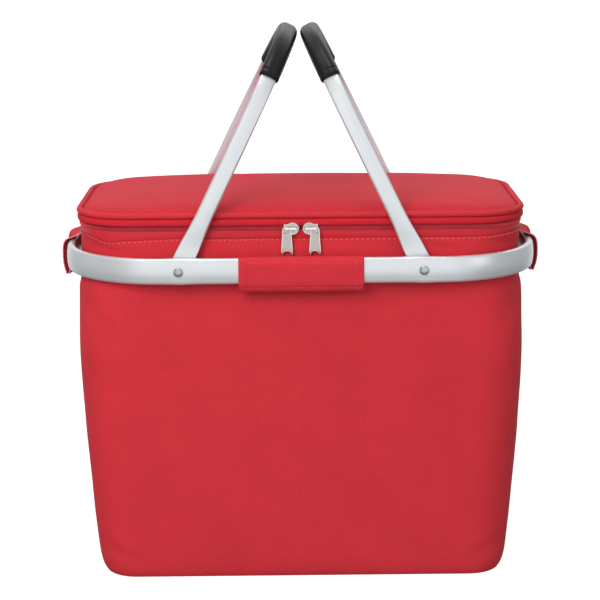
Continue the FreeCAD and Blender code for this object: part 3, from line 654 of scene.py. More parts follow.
def make_floor_foam():
    """Slab with rounded edges under the lining."""
    low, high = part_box("floor_foam")
    outline = Outline(high.x, high.y, 0.0309)
    edge = 1.2 * MM
    profile = [(-edge, low.z), (-0.3 * edge, low.z + 0.3 * edge), (0, (low.z + high.z) / 2),
               (-0.3 * edge, high.z - 0.3 * edge), (-edge, high.z)]
    insets = panel_insets(outline.half_y, 0.008, 0.012)[1:]
    loops = [inner_loop(outline, inset, FOAM_COLUMNS) for inset in insets]
    rows = [lifted(points, low.z) for points in loops[::-1]]
    rows += list(ring_rows(outline, profile, outline.columns(*FOAM_COLUMNS)))
    rows += [lifted(points, high.z) for points in loops]
    foam_block("floor_foam_pad", "floor_foam", rows, "bag")


def make_lining():
    """Wipe-clean film inside the bag: a loose cup with soft folds, welded at the floor."""
    low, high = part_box("body_lining")
    floor = Outline(*outline_at(cad_tree("body_lining"), low.z + 0.0008))
    rows = []
    for inset in panel_insets(floor.half_y)[::-1]:
        points = inner_loop(floor, inset + 0.4 * MM, LINING_COLUMNS)
        ripple = 0.5 * MM * np.abs(soft_noise(lifted(points, 0), 0.04, 13))
        rows.append(lifted(points, low.z + 0.3 * MM + ripple + 0.5 * MM * bump(inset, 0.006, 0.002)))
    heights = np.concatenate([[low.z + 0.0006], np.linspace(low.z + 0.003, high.z - 0.0005, 60)])
    for outline, z in zip(wall_outlines("body_lining", heights), heights):
        points, normals = outline.at(outline.columns(*LINING_COLUMNS))
        here = lifted(points, z)
        loose = 1.4 * MM * np.abs(soft_noise(here * [1, 1, 1.6], 0.05, 11))
        loose += 0.5 * MM * np.abs(soft_noise(here, 0.018, 12))
        inward = 0.1 * MM + loose * step(z, 0.012, 0.04) * (1 - step(z, 0.315, 0.332))
        rows.append(lifted(points - inward[:, None] * normals, z))
    faces = flipped(capped_faces(len(rows), len(rows[0]), floor=True, top=False))
    made = new_object("body_lining_film", np.array(rows), faces, LINING, "bag")
    finish_sheet(made, "body_lining")


def make_rim_binding():
    """Tape folded over the top of the walls."""
    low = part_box("rim_binding")[0].z * 1000
    profile = [(-0.2, 328.0), (-0.1, low), (-0.5, 335.2), (-1.8, 335.7), (-3.5, 335.8), (-5.0, 335.6),
               (-5.9, 335.0), (-6.3, low), (-6.6, 330.0), (-6.7, 324.0)]
    rows = ring_rows(BAG_RIM.inset(1.1 * MM), np.array(profile) * MM)
    made = grid_object("rim_binding_tape", rows, BINDING, "bag")
    thicken(made, 0.5 * MM)
    finish_sheet(made, "rim_binding")


# ---------------------------------------------------------------- zip

ZIP_END = 0.1515
TAPE_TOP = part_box("lower_zip_tape")[1].z
TAPES_MEET = 0.3381
TAPE_THICK = 0.6 * MM
COIL_PITCH = 2.1 * MM
COIL_OVERLAP = (337.9 * MM, 338.5 * MM)


def zip_reach(outline):
    """How far the zip runs from the middle of the front to its end beside the hinge."""
    return outline.length / 2 - ZIP_END


def zip_columns(outline, spacing=2.5 * MM):
    reach = zip_reach(outline)
    return np.linspace(-reach, reach, int(2 * reach / spacing))


def paint_tape_shade(made, low, high):
    """Near-black copy of a zip tape between two heights, behind the teeth: painted shade where the teeth and
    the lid's overhang shadow it.
    """
    made.data.materials.append(TAPE_PAINTED_SHADE)
    for face in made.data.polygons:
        face.material_index = int(low < face.center.z < high)
    thicken(made, TAPE_THICK)


def make_lower_tape():
    """Woven tape that dips behind the hem of the walls; its rows follow the seam's own height."""
    s = zip_columns(BAG_RIM)
    points, normals = BAG_RIM.at(s)
    seam = seam_height(BAG_RIM.signed(s))
    levels = [(-1.25, -3.2, 0), (-0.35, -2.2, 0), (0.05, -1.2, 0), (0.3, -0.55, 0), (0.6, -0.35, 0),
              (0.9, -0.4, 0), (1.0, -0.8, 0.4 * MM), (1.0, -0.9, TAPES_MEET - TAPE_TOP)]
    rows = []
    for share, out, rise in levels:
        z = seam + share * (TAPE_TOP - seam) + rise
        place = points + out * MM * normals
        push = 0.22 * MM * soft_noise(lifted(place, z * 2), 0.026, 22)
        rows.append(lifted(place + push[:, None] * normals, z))
    made = grid_object("lower_zip_tape_cloth", rows, TAPE, "bag", closed=False)
    # The tape's rows behind the teeth take the near-black painted shade
    paint_tape_shade(made, TAPE_TOP, TAPES_MEET)
    finish_sheet(made, "lower_zip_tape")


def make_upper_tape():
    """Woven tape that turns in behind the lid's band."""
    low, high = (corner.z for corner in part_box("upper_zip_tape"))
    profile = [(-1.2 * MM, TAPES_MEET + 0.2 * MM), (-1.2 * MM, low), (-1.1 * MM, low + 0.5 * MM),
               (-1.1 * MM, low + 3 * MM), (-1.5 * MM, high), (-2.6 * MM, high + 0.9 * MM),
               (-5.4 * MM, high + 1.1 * MM)]
    rows = ring_rows(BAG_RIM, profile, zip_columns(BAG_RIM))
    made = grid_object("upper_zip_tape_cloth", rows, TAPE, "lid", closed=False)
    # The tape's rows behind the teeth take the near-black painted shade
    paint_tape_shade(made, TAPES_MEET, low)
    finish_sheet(made, "upper_zip_tape")


def make_coil(name, node, low, high, phase, body):
    """One row of the nylon coil: a rounded hook for each turn, leaning a little along the zip."""
    outline = BAG_RIM.inset(0.35 * MM)
    reach = zip_reach(outline)
    s = np.arange(-reach + phase * COIL_PITCH, reach, COIL_PITCH)
    s = s[np.abs(s) > 0.6 * COIL_PITCH]
    rings = []
    for t, size, out in ((0.0, 0.20, -0.3), (0.08, 0.40, 0.35), (0.35, 0.48, 0.85), (0.7, 0.48, 0.85),
                         (0.92, 0.40, 0.35), (1.0, 0.20, -0.3)):
        points, normals = outline.at(s + (t - 0.5) * 0.55 * MM)
        centres = lifted(points + out * MM * normals, low + t * (high - low))
        across, up = lifted(sideways(normals), 0), lifted(normals, 0)
        rings.append(small_ring(centres, across, up, 0.95 * size * MM, size * MM))
    record(short_tubes(name, rings, TEETH, body, capped=True), node)


def make_coils():
    """Both rows of teeth, and the small stitches that hold them to their tapes."""
    low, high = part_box("lower_zip_teeth")[0].z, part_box("upper_zip_teeth")[1].z
    make_coil("lower_coil", "lower_zip_teeth", low, COIL_OVERLAP[1], 0.0, "bag")
    make_coil("upper_coil", "upper_zip_teeth", COIL_OVERLAP[0], high, 0.5, "lid")
    for name, z, out, body in (("lower", 0.3351, -0.1 * MM, "bag"), ("upper", 0.3408, -0.9 * MM, "lid")):
        stitch_row(name + "_coil_stitching", BAG_RIM, lambda side: z, COIL_PITCH, 1.5 * MM, 0.22 * MM,
                   THREAD, body, out, zip_reach(BAG_RIM))


def pebble(centre, half, sides=16, rings=9, power=0.45):
    """Closed rounded block, as points and faces."""
    v, u = np.meshgrid(np.linspace(-1, 1, rings) * math.pi / 2 * 0.999, circle(sides), indexing="ij")

    def squarish(x):
        return np.sign(x) * np.abs(x) ** power

    wide = np.cos(v)
    unit = np.stack([wide * squarish(np.cos(u)), wide * squarish(np.sin(u)), squarish(np.sin(v))], axis=-1)
    last = (rings - 1) * sides
    caps = [list(range(sides))[::-1], list(range(last, last + sides))]
    return np.array(centre) + np.array(half) * unit, grid_faces(rings, sides).tolist() + caps


def make_end_stops():
    """Small crimped clips at both ends of the zip."""
    low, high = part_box("zip_end_stops")
    middle, half = (low + high) / 2, (high - low) / 2
    half.x = 0.45 * MM
    blocks = [pebble((x, middle.y, middle.z), half) for x in (low.x + half.x, high.x - half.x)]
    record(joined("zip_end_clips", blocks, NICKEL, "bag"), "zip_end_stops")


# ---------------------------------------------------------------- lid

LID_RIM = Outline(0.2085, 0.103, 0.050)
LID_EDGE_INSET = 4.9 * MM
LID_EDGE = 0.3498
LID_CROWN = 14.2 * MM
PIPING_INSET, PIPING_RADIUS = 2.0 * MM, 2.8 * MM


def lid_height(points, inset):
    """Top of the padded lid: it rises fast out of the piping, then slowly to a flat crown."""
    ends = 1 - 0.46 * np.abs(points[:, 0] / BAG_RIM.half_x) ** 3
    rise = 0.70 * (1 - np.exp(-np.maximum(inset - 0.0010, 0) / 0.0052)) + 0.30 * step(inset, 0.0, 0.060)
    here = lifted(points, 0)
    soft = 0.55 * MM * soft_noise(here, 0.085, 31) + 0.22 * MM * soft_noise(here, 0.030, 32)
    pucker = 0.22 * MM * soft_noise(here, 0.0085, 33) * bump(inset, 0.007, 0.005)
    return LID_EDGE + LID_CROWN * ends * rise + soft * step(inset, 0.002, 0.02) + pucker


def make_lid():
    """Padded top of the lid."""
    outline = LID_RIM.inset(LID_EDGE_INSET - 0.6 * MM)
    insets = panel_insets(outline.half_y, 0.0022, 0.006)
    # The lid's top uses the darkened red: painted shade
    made = nested_object("lid_panel_fabric", outline, insets, lid_height, SHADED_LID_FABRIC, "lid")
    thicken(made, FABRIC_THICK)
    finish_sheet(made, "lid_panel")


def make_lid_foam():
    """Foam pad in the lid: a slab with the crowned pad on top."""
    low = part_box("lid_foam")[0].z
    edge = [(3.0, 0.1), (2.4, 0.8), (2.4, 3.2), (3.2, 4.1), (6.2, 4.2), (6.5, 6.0)]
    insets = np.arange(0.010, 0.100, 0.010)
    levels = [(inset, 0.1 * MM) for inset in insets[::-1]] + [(inset * MM, up * MM) for inset, up in edge]
    rows = [lifted(inner_loop(BAG_RIM, inset, FOAM_COLUMNS), low + up) for inset, up in levels]
    for inset in insets:
        points = inner_loop(BAG_RIM, inset, FOAM_COLUMNS)
        rows.append(lifted(points, lid_height(points, inset - LID_EDGE_INSET) - 1.5 * MM))
    foam_block("lid_foam_pad", "lid_foam", rows, "lid")


def make_lid_lining():
    """Film on the underside of the lid, tucked up round its edge."""
    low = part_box("lid_lining")[0].z
    outline = BAG_RIM.inset(2.3 * MM)

    def height(points, inset):
        here = lifted(points, 0)
        folds = 0.45 * MM * np.abs(soft_noise(here * [1, 1.5, 1], 0.045, 41))
        folds += 0.15 * MM * np.abs(soft_noise(here, 0.016, 42))
        return low + 0.25 * MM + 2.2 * MM * np.exp(-inset / 0.0012) - folds * step(inset, 0.003, 0.02)

    insets = panel_insets(outline.half_y, 0.0015, 0.006)
    made = nested_object("lid_lining_film", outline, insets, height, LINING, "lid", downwards=True)
    thicken(made, 0.4 * MM)
    finish_sheet(made, "lid_lining")


def make_piping():
    """Cord covered in fabric, all round the lid's edge."""
    outline = LID_RIM.inset(PIPING_INSET)
    points, normals = outline.at(outline.columns(78, 40, 40))
    rows = []
    for turn in circle(18):
        out, up = PIPING_RADIUS * math.cos(turn), PIPING_RADIUS * math.sin(turn)
        place = lifted(points + out * normals, LID_EDGE + up)
        dent = 0.13 * MM * soft_noise(place * [1, 1, 0.6], 0.007, 51)
        dent += 0.15 * MM * soft_noise(place, 0.04, 52)
        rows.append(place + dent[:, None] * lifted(math.cos(turn) * normals, math.sin(turn)))
    made = grid_object("lid_piping_cover", rows, PIPING_FABRIC, "lid", closed_rows=True)
    record(made, "lid_piping")


def make_lid_band():
    """Upright band between the piping and the zip, folded under along its lower edge."""
    low, high = (corner.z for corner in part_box("lid_band"))
    profile = [(-1.0, low + 2.2 * MM), (-0.85, low + 0.5 * MM), (-0.25, low), (0.05, low + 0.6 * MM),
               (0.3, low + 2.4 * MM), (0.2, high - 1.6 * MM), (-0.3, high - 0.4 * MM), (-1.4, high + 0.1 * MM),
               (-2.4, high)]
    s = zip_columns(LID_RIM)
    rows = ring_rows(LID_RIM, [(out * MM, z) for out, z in profile], s)
    waver = 0.25 * MM * soft_noise(rows * [1, 1, 2.5], 0.03, 21)
    rows += waver[..., None] * lifted(LID_RIM.at(s)[1], 0)
    made = grid_object("lid_band_cloth", rows, BAND_FABRIC, "lid", closed=False)
    thicken(made, 0.7 * MM)
    finish_sheet(made, "lid_band")


def make_hinge():
    """Fabric at the back that the lid folds on, sewn down at both ends."""
    low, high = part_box("lid_hinge")
    x = np.linspace(high.x + 1.3 * MM, low.x - 1.3 * MM, 120)
    levels = [(low.z - 3.6 * MM, -1.9), (low.z - 1.6 * MM, -1.3)]
    levels += [(z, 0) for z in np.linspace(low.z - 0.4 * MM, high.z - 0.6 * MM, 14)]
    levels.append((high.z + 0.4 * MM, -1.0))
    rows = []
    for z, out in levels:
        here = np.column_stack([x, np.full(len(x), high.y), np.full(len(x), z)])
        here[:, 1] += out * MM + 0.3 * MM * soft_noise(here, 0.03, 61) - 0.25 * MM * bump(z, 0.3435, 0.0012)
        rows.append(here)
    made = grid_object("hinge_fabric", rows, FABRIC, None, closed=False)
    thicken(made, FABRIC_THICK)
    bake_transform(made)
    finish_sheet(made, "lid_hinge")
    rungs = np.arange(low.z + 1.5 * MM, high.z - 5.5 * MM, 3.4 * MM)
    sides = (low.x + 2.2 * MM, high.x - 2.2 * MM)
    starts = np.array([(side, high.y + 0.1 * MM, z) for side in sides for z in rungs])
    stitches("hinge_stitching", starts, starts + [0, 0, 2.4 * MM], [(0, 1, 0)] * len(starts), 0.36 * MM,
             PALE_THREAD, "bag")


# ---------------------------------------------------------------- rim frame

RING = Outline(0.218, 0.118, 0.090)
RING_LEVEL = 0.302
RING_HALF_THICK, RING_HALF_TALL, RING_CORNER = 4.5 * MM, 12.0 * MM, 4.2 * MM
RING_CROWN = 0.8 * MM
RING_GAP = 0.25 * MM
TUBE_WALL = 1.2 * MM
PIVOT_X = 0.1115


def make_frame_half(name, node, start, end):
    """Half of the rim frame: drawn tube with swelled faces, pinched a little where the rivets pull on it."""
    points, normals = RING.at(np.append(np.arange(start, end, 2.0 * MM), end))
    near_x = np.abs(np.abs(points[:, 0]) - PIVOT_X)[:, None]
    half_thick = RING_HALF_THICK - RING_CROWN
    outer = rounded_section(half_thick, RING_HALF_TALL, RING_CORNER - RING_CROWN, 9, 10, crown=RING_CROWN)
    inner = rounded_section(half_thick - TUBE_WALL, RING_HALF_TALL - TUBE_WALL, 1.8 * MM, 9, 10)

    def ring(section, pinch):
        out, up = section.T
        dent = 0.4 * MM * pinch * bump(np.hypot(near_x, 0.75 * up), 0, 0.0085) * (np.abs(out) > 3 * MM)
        up = up * (1 + 0.035 * pinch * bump(near_x, 0, 0.011))
        place = points[:, None] + (out - np.sign(out) * dent)[..., None] * normals[:, None]
        return np.concatenate([place, RING_LEVEL + up[..., None]], axis=2)

    rows = np.concatenate([ring(outer, 1), ring(inner, 0)[::-1]])
    made = grid_object(name, rows[:, ::-1], ALUMINIUM, "bag", closed_rows=True)
    record(made, node)


# ---------------------------------------------------------------- sleeves and end loops

SLEEVE_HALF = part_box("front_sleeve")[1].x
# Outer face of the sleeve's cloth, from its hem up the front, over the frame and back down: (distance from the
# bag's middle, height) in millimetres; then the web from its hem to the wall
SLEEVE_SECTION = [(119.0, 282.6), (120.8, 284.2), (122.6, 287.4), (123.5, 291.0), (123.75, 297), (123.75, 306),
                  (123.3, 310.3), (121.5, 313.6), (118.4, 315.0), (115.0, 314.4), (112.7, 311.2), (112.3, 306),
                  (112.3, 297), (112.9, 291.5), (115.2, 287.4), (117.3, 283.6)]
SLEEVE_WEB = [(112.9, 295), (111.6, 290), (108, 286.6), (105.4, 285.4), (104.6, 282.5)]
SLEEVE_FACE = 0.1185
SLEEVE_HEM = 8.2 * MM
SLEEVE_ROWS = (0.3116, 0.2868)
STITCH_PITCH, STITCH_LENGTH = 3.1 * MM, 2.2 * MM


def sleeve_relief(x, z, seed):
    """Hems at both ends, the grooves of the stitching and the slack of the cloth, on the sleeve's face."""
    across = np.abs(x)
    here = np.stack([x, np.full_like(x, seed * 0.1), z], axis=-1)
    out = 0.35 * MM * soft_noise(here, 0.022, seed) + 0.14 * MM * soft_noise(here, 0.007, seed + 1)
    hem = SLEEVE_HALF - SLEEVE_HEM
    out = out * (1 - 0.6 * bump(across, SLEEVE_HALF, 0.004))
    out = out + 0.30 * MM * step(across, hem - 0.001, hem + 0.001)
    out = out - 0.35 * MM * bump(across, hem + 0.0012, 0.0011)
    for level in SLEEVE_ROWS:
        out = out - 0.45 * MM * bump(z, level, 0.0013)
    return out


def make_sleeve(name, node, side, seed):
    """Cloth sleeve folded over the frame, with a double hem below it and stitching all round its face."""
    section = smooth_line(np.array(SLEEVE_SECTION) * MM, 84, closed=True)
    outward = line_normals(section)
    xs = np.linspace(-SLEEVE_HALF, SLEEVE_HALF, 96)
    x, z = np.meshgrid(xs, section[:, 1], indexing="ij")
    relief = sleeve_relief(x, z, seed) * step(section[:, 0], SLEEVE_FACE, 0.1225)
    hang = 0.5 * MM * soft_noise(np.column_stack([xs, xs * 0, xs * 0]), 0.045, 73)[:, None]
    z = z + relief * outward[:, 1] + hang * (1 - step(z, 0.283, 0.292))
    rows = np.stack([x, side * (section[:, 0] + relief * outward[:, 0]), z], axis=2)
    made = grid_object(name, rows if side > 0 else rows[::-1], FABRIC, "bag")
    thicken(made, 0.8 * MM, edge=EDGE)
    finish_sheet(made, node)
    web = smooth_line(np.array(SLEEVE_WEB) * MM, 20)
    strip = np.array([[(x, side * out, z) for out, z in web] for x in np.linspace(-0.054, 0.054, 30)])
    back = grid_object(name + "_web", strip if side < 0 else strip[::-1], FABRIC, "bag", closed=False)
    thicken(back, 0.8 * MM)
    finish_sheet(back, None)
    sleeve_stitching(name + "_stitching", section, side, seed)


def sleeve_stitching(name, section, side, seed):
    """Rows of stitches along the sleeve's top, hem and both sides."""
    front = section[section[:, 0] > SLEEVE_FACE]
    front = front[np.argsort(front[:, 1])]
    hem = SLEEVE_HALF - SLEEVE_HEM + 1.2 * MM
    along = np.arange(-SLEEVE_HALF + 1.5 * MM, SLEEVE_HALF - 3 * MM, STITCH_PITCH)
    up = np.arange(0.2882, 0.3100, STITCH_PITCH)
    x = np.concatenate([along, along, np.full(len(up), -hem), np.full(len(up), hem)])
    z = np.concatenate([np.repeat(SLEEVE_ROWS, len(along)), up, up])
    level = np.arange(len(x)) < 2 * len(along)

    def place(x, z):
        out = np.interp(z, front[:, 1], front[:, 0]) + sleeve_relief(x, z, seed) + 0.12 * MM
        return np.column_stack([x, side * out, z])

    ends = place(x + STITCH_LENGTH * level, z + STITCH_LENGTH * ~level)
    stitches(name, place(x, z), ends, [(0, side, 0)] * len(x), 0.42 * MM, THREAD, "bag")


LOOP_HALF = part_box("left_loop")[1].y
# Outer face of the strap, from the rim seam over the frame's end down to its tip, then back under the frame
LOOP_SECTION = [(204.8, 327.6), (207.2, 324.6), (210.8, 320.9), (214.6, 317.9), (218.6, 316.2), (222.0, 313.8),
                (224.3, 309.4), (225.0, 303.0), (225.0, 295.0), (224.2, 287.0), (222.4, 279.4)]
LOOP_RETURN = [(221.6, 280.2), (221.2, 284.4), (219.2, 287.4), (214.6, 288.8), (210.0, 289.2), (207.6, 287.4)]


def strap_cloth(name, node, side, section, steps, half_width, bow):
    """Strap laid along a section, a little narrower at its tip; bow lifts its edges off the frame."""
    out, z = smooth_line(np.array(section) * MM, steps).T
    y = np.linspace(-half_width, half_width, 34)[:, None]
    here = np.stack(np.broadcast_arrays(y, out, 0.8 * z), axis=2)
    slack = 0.55 * MM * soft_noise(here, 0.018, 81 + side) * step(z, 0.328, 0.322)
    slack += bow * (4.2 * MM * step(np.abs(y), 0.006, LOOP_HALF) - 1.4 * MM) * step(z, 0.322, 0.312)
    narrow = 1 - 0.10 * step(z, 0.2960, 0.2796)
    rows = np.stack([side * (out + slack), y * narrow, z + 0.3 * slack], axis=2)
    made = grid_object(name, rows if side > 0 else rows[::-1], FABRIC, "bag", closed=False)
    thicken(made, 1.0 * MM, edge=EDGE)
    finish_sheet(made, node)


def make_end_loop(name, node, side):
    """Strap that holds the end of the frame; its raw edges show, and its two ends meet in a pointed tip."""
    strap_cloth(name, node, side, LOOP_SECTION, 46, LOOP_HALF, 1)
    strap_cloth(name + "_return", None, side, LOOP_RETURN, 22, LOOP_HALF - 0.5 * MM, 0)
    line = smooth_line(np.array(LOOP_SECTION) * MM, 60)
    outward = -line_normals(line)
    face = line + 0.25 * MM * outward
    k = np.tile(np.arange(6, 55, 3), 2)
    y = np.repeat([3.5 * MM - LOOP_HALF, LOOP_HALF - 3.5 * MM], len(k) // 2)
    starts, ends, normals = (np.column_stack([side * place[:, 0], across, place[:, 1]])
                             for place, across in ((face[k], y), (face[k + 2], y), (outward[k], 0 * y)))
    stitches(name + "_stitching", starts, ends, normals, 0.34 * MM, THREAD, "bag")


# ---------------------------------------------------------------- handles

BAIL_LEAN = math.radians(64)
ARM_OUT = 0.1094
ARM_STRAIGHT = 0.0570
ARM_BEND = 0.400
ARCH = 0.1005
ARCH_TURN = math.acos((ARM_BEND - ARM_OUT) / (ARM_BEND - ARCH))
ARCH_CENTRE = ARM_STRAIGHT + (ARM_BEND - ARCH) * math.sin(ARCH_TURN)
TANG_HALF_TALL, TANG_HALF_THICK = 9.75 * MM, 2.0 * MM
TUBE_HALF_TALL, TUBE_HALF_THICK = 7.5 * MM, 3.0 * MM
# Distances from the pivot between which the flattened end grows into the tube, in height and in thickness
NECK = (0.006, 0.062)
PRESS = (0.021, 0.045)
GRIP_TURN = math.radians(53.5)
GRIP_HALF_THICK, GRIP_HALF_TALL = 7.0 * MM, 9.5 * MM


def bail_place(side, y, s, out_y, out_s, section):
    """Ring of points of a bail: section is (outwards in the bail's plane, across that plane)."""
    along = np.array([-side * math.cos(BAIL_LEAN), 0, math.sin(BAIL_LEAN)])
    across = np.array([side * math.sin(BAIL_LEAN), 0, math.cos(BAIL_LEAN)])
    outwards = np.array([0, out_y, 0]) + out_s * along
    start = np.array([side * PIVOT_X, y, RING_LEVEL]) + s * along
    return start + section[:, :1] * outwards + section[:, 1:] * across


def arch_point(turn):
    """(y, s, outward y, outward s) on the bail's centre line, from the arm at 0 round the arch."""
    out_y, out_s = -math.cos(turn), math.sin(turn)
    if turn < ARCH_TURN:
        return ARM_BEND - ARM_OUT + ARM_BEND * out_y, ARM_STRAIGHT + ARM_BEND * out_s, out_y, out_s
    return ARCH * out_y, ARCH_CENTRE + ARCH * out_s, out_y, out_s


def make_tube(name, node, rings, material, body):
    """Tube through rings of points, closed at both ends."""
    n, m = np.shape(rings)[:2]
    made = grid_object(name, rings, material, body)
    face_outwards(made, ends=(range(m), range((n - 1) * m, n * m)))
    record(made, node)


def make_bail(name, node, side, body):
    """Flat-oval tube from pivot to pivot; its ends are pressed flat and rounded round the rivets."""
    arm = [-TANG_HALF_TALL * math.cos(t) for t in np.linspace(0.02, math.pi / 2, 12)]
    path = [(-ARM_OUT, s, -1.0, 0.0) for s in arm + list(np.arange(0.003, ARM_STRAIGHT, 0.003))]
    path += [arch_point(t) for t in np.linspace(0, ARCH_TURN, 22)]
    path += [arch_point(t) for t in np.linspace(ARCH_TURN, math.pi / 2, 46)[1:]]
    path += [(-y, s, -out_y, out_s) for y, s, out_y, out_s in path[-2::-1]]
    rings = []
    for y, s, out_y, out_s in path:
        tube = float(step(s, *PRESS))
        tall = TANG_HALF_TALL + (TUBE_HALF_TALL - TANG_HALF_TALL) * float(step(s, *NECK))
        thick = TANG_HALF_THICK + (TUBE_HALF_THICK - TANG_HALF_THICK) * tube
        if s < 0:
            tall = math.sqrt(max(TANG_HALF_TALL ** 2 - s ** 2, (0.6 * MM) ** 2))
            thick = min(thick, 0.9 * MM + 0.7 * tall)
        corner = min((1.1 + 1.3 * tube) * MM, 0.97 * thick, 0.97 * tall)
        swell = 0.45 * MM * tube
        section = rounded_section(thick - swell, tall, corner, 8, 8, crown=swell)
        rings.append(bail_place(side, y, s, out_y, out_s, section))
    make_tube(name, node, rings, ALUMINIUM, body)


def make_grip(name, node, side, body):
    """Foam-rubber grip moulded over the arch, with a raised band and a groove at each end."""
    reach = GRIP_TURN * ARCH
    marks = np.concatenate([np.linspace(-reach, -reach + 0.012, 40), np.linspace(-reach + 0.0135, 0, 42)])
    rings = []
    for run in np.concatenate([marks, -marks[-2::-1]]):
        from_end = reach - abs(run)
        round_end = math.sqrt(max(1 - (1 - min(from_end / 0.0024, 1)) ** 2, 0.0))
        size = -2.6 * MM * (1 - round_end) - 0.5 * MM * bump(from_end, 0.0062, 0.0007)
        thick = GRIP_HALF_THICK + size
        section = rounded_section(thick, GRIP_HALF_TALL + size, thick - 0.1 * MM, 10, 5)
        rings.append(bail_place(side, *arch_point(math.pi / 2 + run / ARCH), section))
    make_tube(name, node, rings, RUBBER, body)


# Rivet's profile as (radius, distance) in millimetres: the head inwards from its crown, then the flange
# outwards from its inner face
RIVET_HEAD = [(0.05, 0), (1.5, 0.06), (2.8, 0.32), (3.8, 0.9), (4.3, 1.5), (4.42, 2.0), (4.30, 2.42),
              (2.5, 2.46)]
RIVET_FLANGE = [(2.5, 1.1), (3.9, 1.05), (3.9, 0), (2.4, 0), (1.9, 0), (0.05, 0)]
RIVET_INNER = 0.1061


def make_rivets():
    """Domed rivets through the frame and the handles' ends, with a set flange on the inside."""
    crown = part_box("bail_rivets")[1].y
    profile = [(r * MM, crown - depth * MM) for r, depth in RIVET_HEAD]
    profile += [(r * MM, RIVET_INNER + up * MM) for r, up in RIVET_FLANGE]
    turn = circle(40)
    last = (len(profile) - 1) * len(turn)
    faces = grid_faces(len(profile), len(turn)).tolist()
    faces += [list(range(len(turn))), list(range(last, last + len(turn)))]
    blocks = []
    for x in (-PIVOT_X, PIVOT_X):
        for side in (-1, 1):
            rows = [[(x + r * math.cos(t), side * y, RING_LEVEL + r * math.sin(t)) for t in turn]
                    for r, y in profile]
            blocks.append((rows, faces))
    made = joined("handle_rivets", blocks, RIVET, "bag")
    face_outwards(made)
    made.data.set_sharp_from_angle(angle=math.radians(40))
    record(made, "bail_rivets")


# ---------------------------------------------------------------- zip sliders and pulls

# Millimetres. Outlines are (x, z) from the slider's middle or the pull's post, given for the left slider
SLIDER_X, SLIDER_LEVEL = 9.1, 338.2
BAR_LEVEL = 338.4
POST_LEVEL = 337.0
SLIDER_FACE = [(7.3, 0), (6.5, 2.9), (4.3, 4.9), (1.4, 5.6), (-1.2, 4.9), (-3.4, 4.0), (-5.4, 3.9),
               (-6.5, 3.9), (-6.4, 2.5), (-7.2, 0), (-6.8, -2.6), (-5.0, -4.2), (-2.2, -5.0), (1.2, -5.6),
               (4.3, -4.9), (6.5, -2.9)]
SLIDER_BACK = [(7.0, 0), (6, 3.8), (2, 4.6), (-3, 4.2), (-6.6, 3.2), (-6.6, -3.2), (-3, -4.2), (2, -4.6),
               (6, -3.8)]
SLIDER_WEB = [(6, 0), (5, 1.1), (0, 1.2), (-4, 1.1), (-5, 0), (-4, -1.1), (0, -1.2), (5, -1.1)]
SLIDER_BAR = [(5.6, 0.75), (5.0, 1.25), (0, 1.3), (-5.0, 1.25), (-5.6, 0.75), (-5.6, -0.75), (-5.0, -1.25),
              (0, -1.3), (5.0, -1.25), (5.6, -0.75)]
PULL = [(-3.6, 1.7), (-4.3, 0.0), (-4.4, -4), (-4.9, -12), (-5.6, -21.5), (-5.7, -25.3), (-4.6, -27.3),
        (0, -27.6), (4.6, -27.3), (5.7, -25.3), (5.6, -21.5), (4.9, -12), (4.4, -4), (4.3, 0.2), (3.4, 1.9),
        (1.6, 2.6), (-1.6, 2.6)]
PULL_WINDOW = [(1.6, 1.0), (1.9, -0.6), (1.2, -2.6), (-0.9, -3.3), (-2.7, -2.6), (-3.0, -0.4), (-2.5, 1.2),
               (-0.5, 1.7)]
PULL_HOLE = [(-4.3, -22.4), (-3.9, -20.6), (-2.6, -19.2), (0, -18.5), (2.6, -19.2), (3.9, -20.6), (4.3, -22.4),
             (4.0, -24.8), (0, -26.0), (-4.0, -24.8)]


def plate(loops, low, high, bevel):
    """Plate in the front plane: loops are closed outlines in millimetres as (x, z), the first one outside, the
    others holes. low and high are its faces' distances from the bag's middle. Returns (points, faces)."""
    curve = bpy.data.curves.new("plate", "CURVE")
    curve.dimensions, curve.fill_mode = "2D", "BOTH"
    curve.extrude, curve.bevel_depth, curve.bevel_resolution = (high - low) / 2 - bevel, bevel, 2
    curve.offset = -bevel
    for loop in loops:
        line = curve.splines.new("POLY")
        line.points.add(len(loop) - 1)
        for point, (x, z) in zip(line.points, loop):
            point.co = (x, z, 0, 1)
        line.use_cyclic_u = True
    holder = bpy.data.objects.new("plate", curve)
    bpy.context.scene.collection.objects.link(holder)
    solid = bpy.data.meshes.new_from_object(holder.evaluated_get(bpy.context.evaluated_depsgraph_get()))
    middle = (low + high) / 2
    points = [(v.co.x * MM, -(middle + v.co.z) * MM, v.co.y * MM) for v in solid.vertices]
    faces = [list(p.vertices) for p in solid.polygons]
    bpy.data.objects.remove(holder)
    bpy.data.curves.remove(curve)
    bpy.data.meshes.remove(solid)
    return points, faces


def rod(x, z, near, far, radius, sides=20):
    """Round post along Y between two distances from the bag's middle, in millimetres."""
    points = [((x + radius * math.cos(t)) * MM, -y * MM, (z + radius * math.sin(t)) * MM)
              for y in (near, far) for t in circle(sides)]
    return points, grid_faces(2, sides).tolist() + [list(range(sides)), list(range(sides, 2 * sides))]


def loop_line(points, side, x, z, count):
    """Smooth closed outline through points given for the left slider, placed round (x, z)."""
    return smooth_line(points, count, closed=True) * [-side, 1] + [x, z]


def scaled(line, amount):
    """Closed outline moved inwards by amount along its own normals."""
    area = np.sum(line[:, 0] * np.roll(line[:, 1], -1) - line[:, 1] * np.roll(line[:, 0], -1))
    return line - math.copysign(amount, area) * line_normals(line)


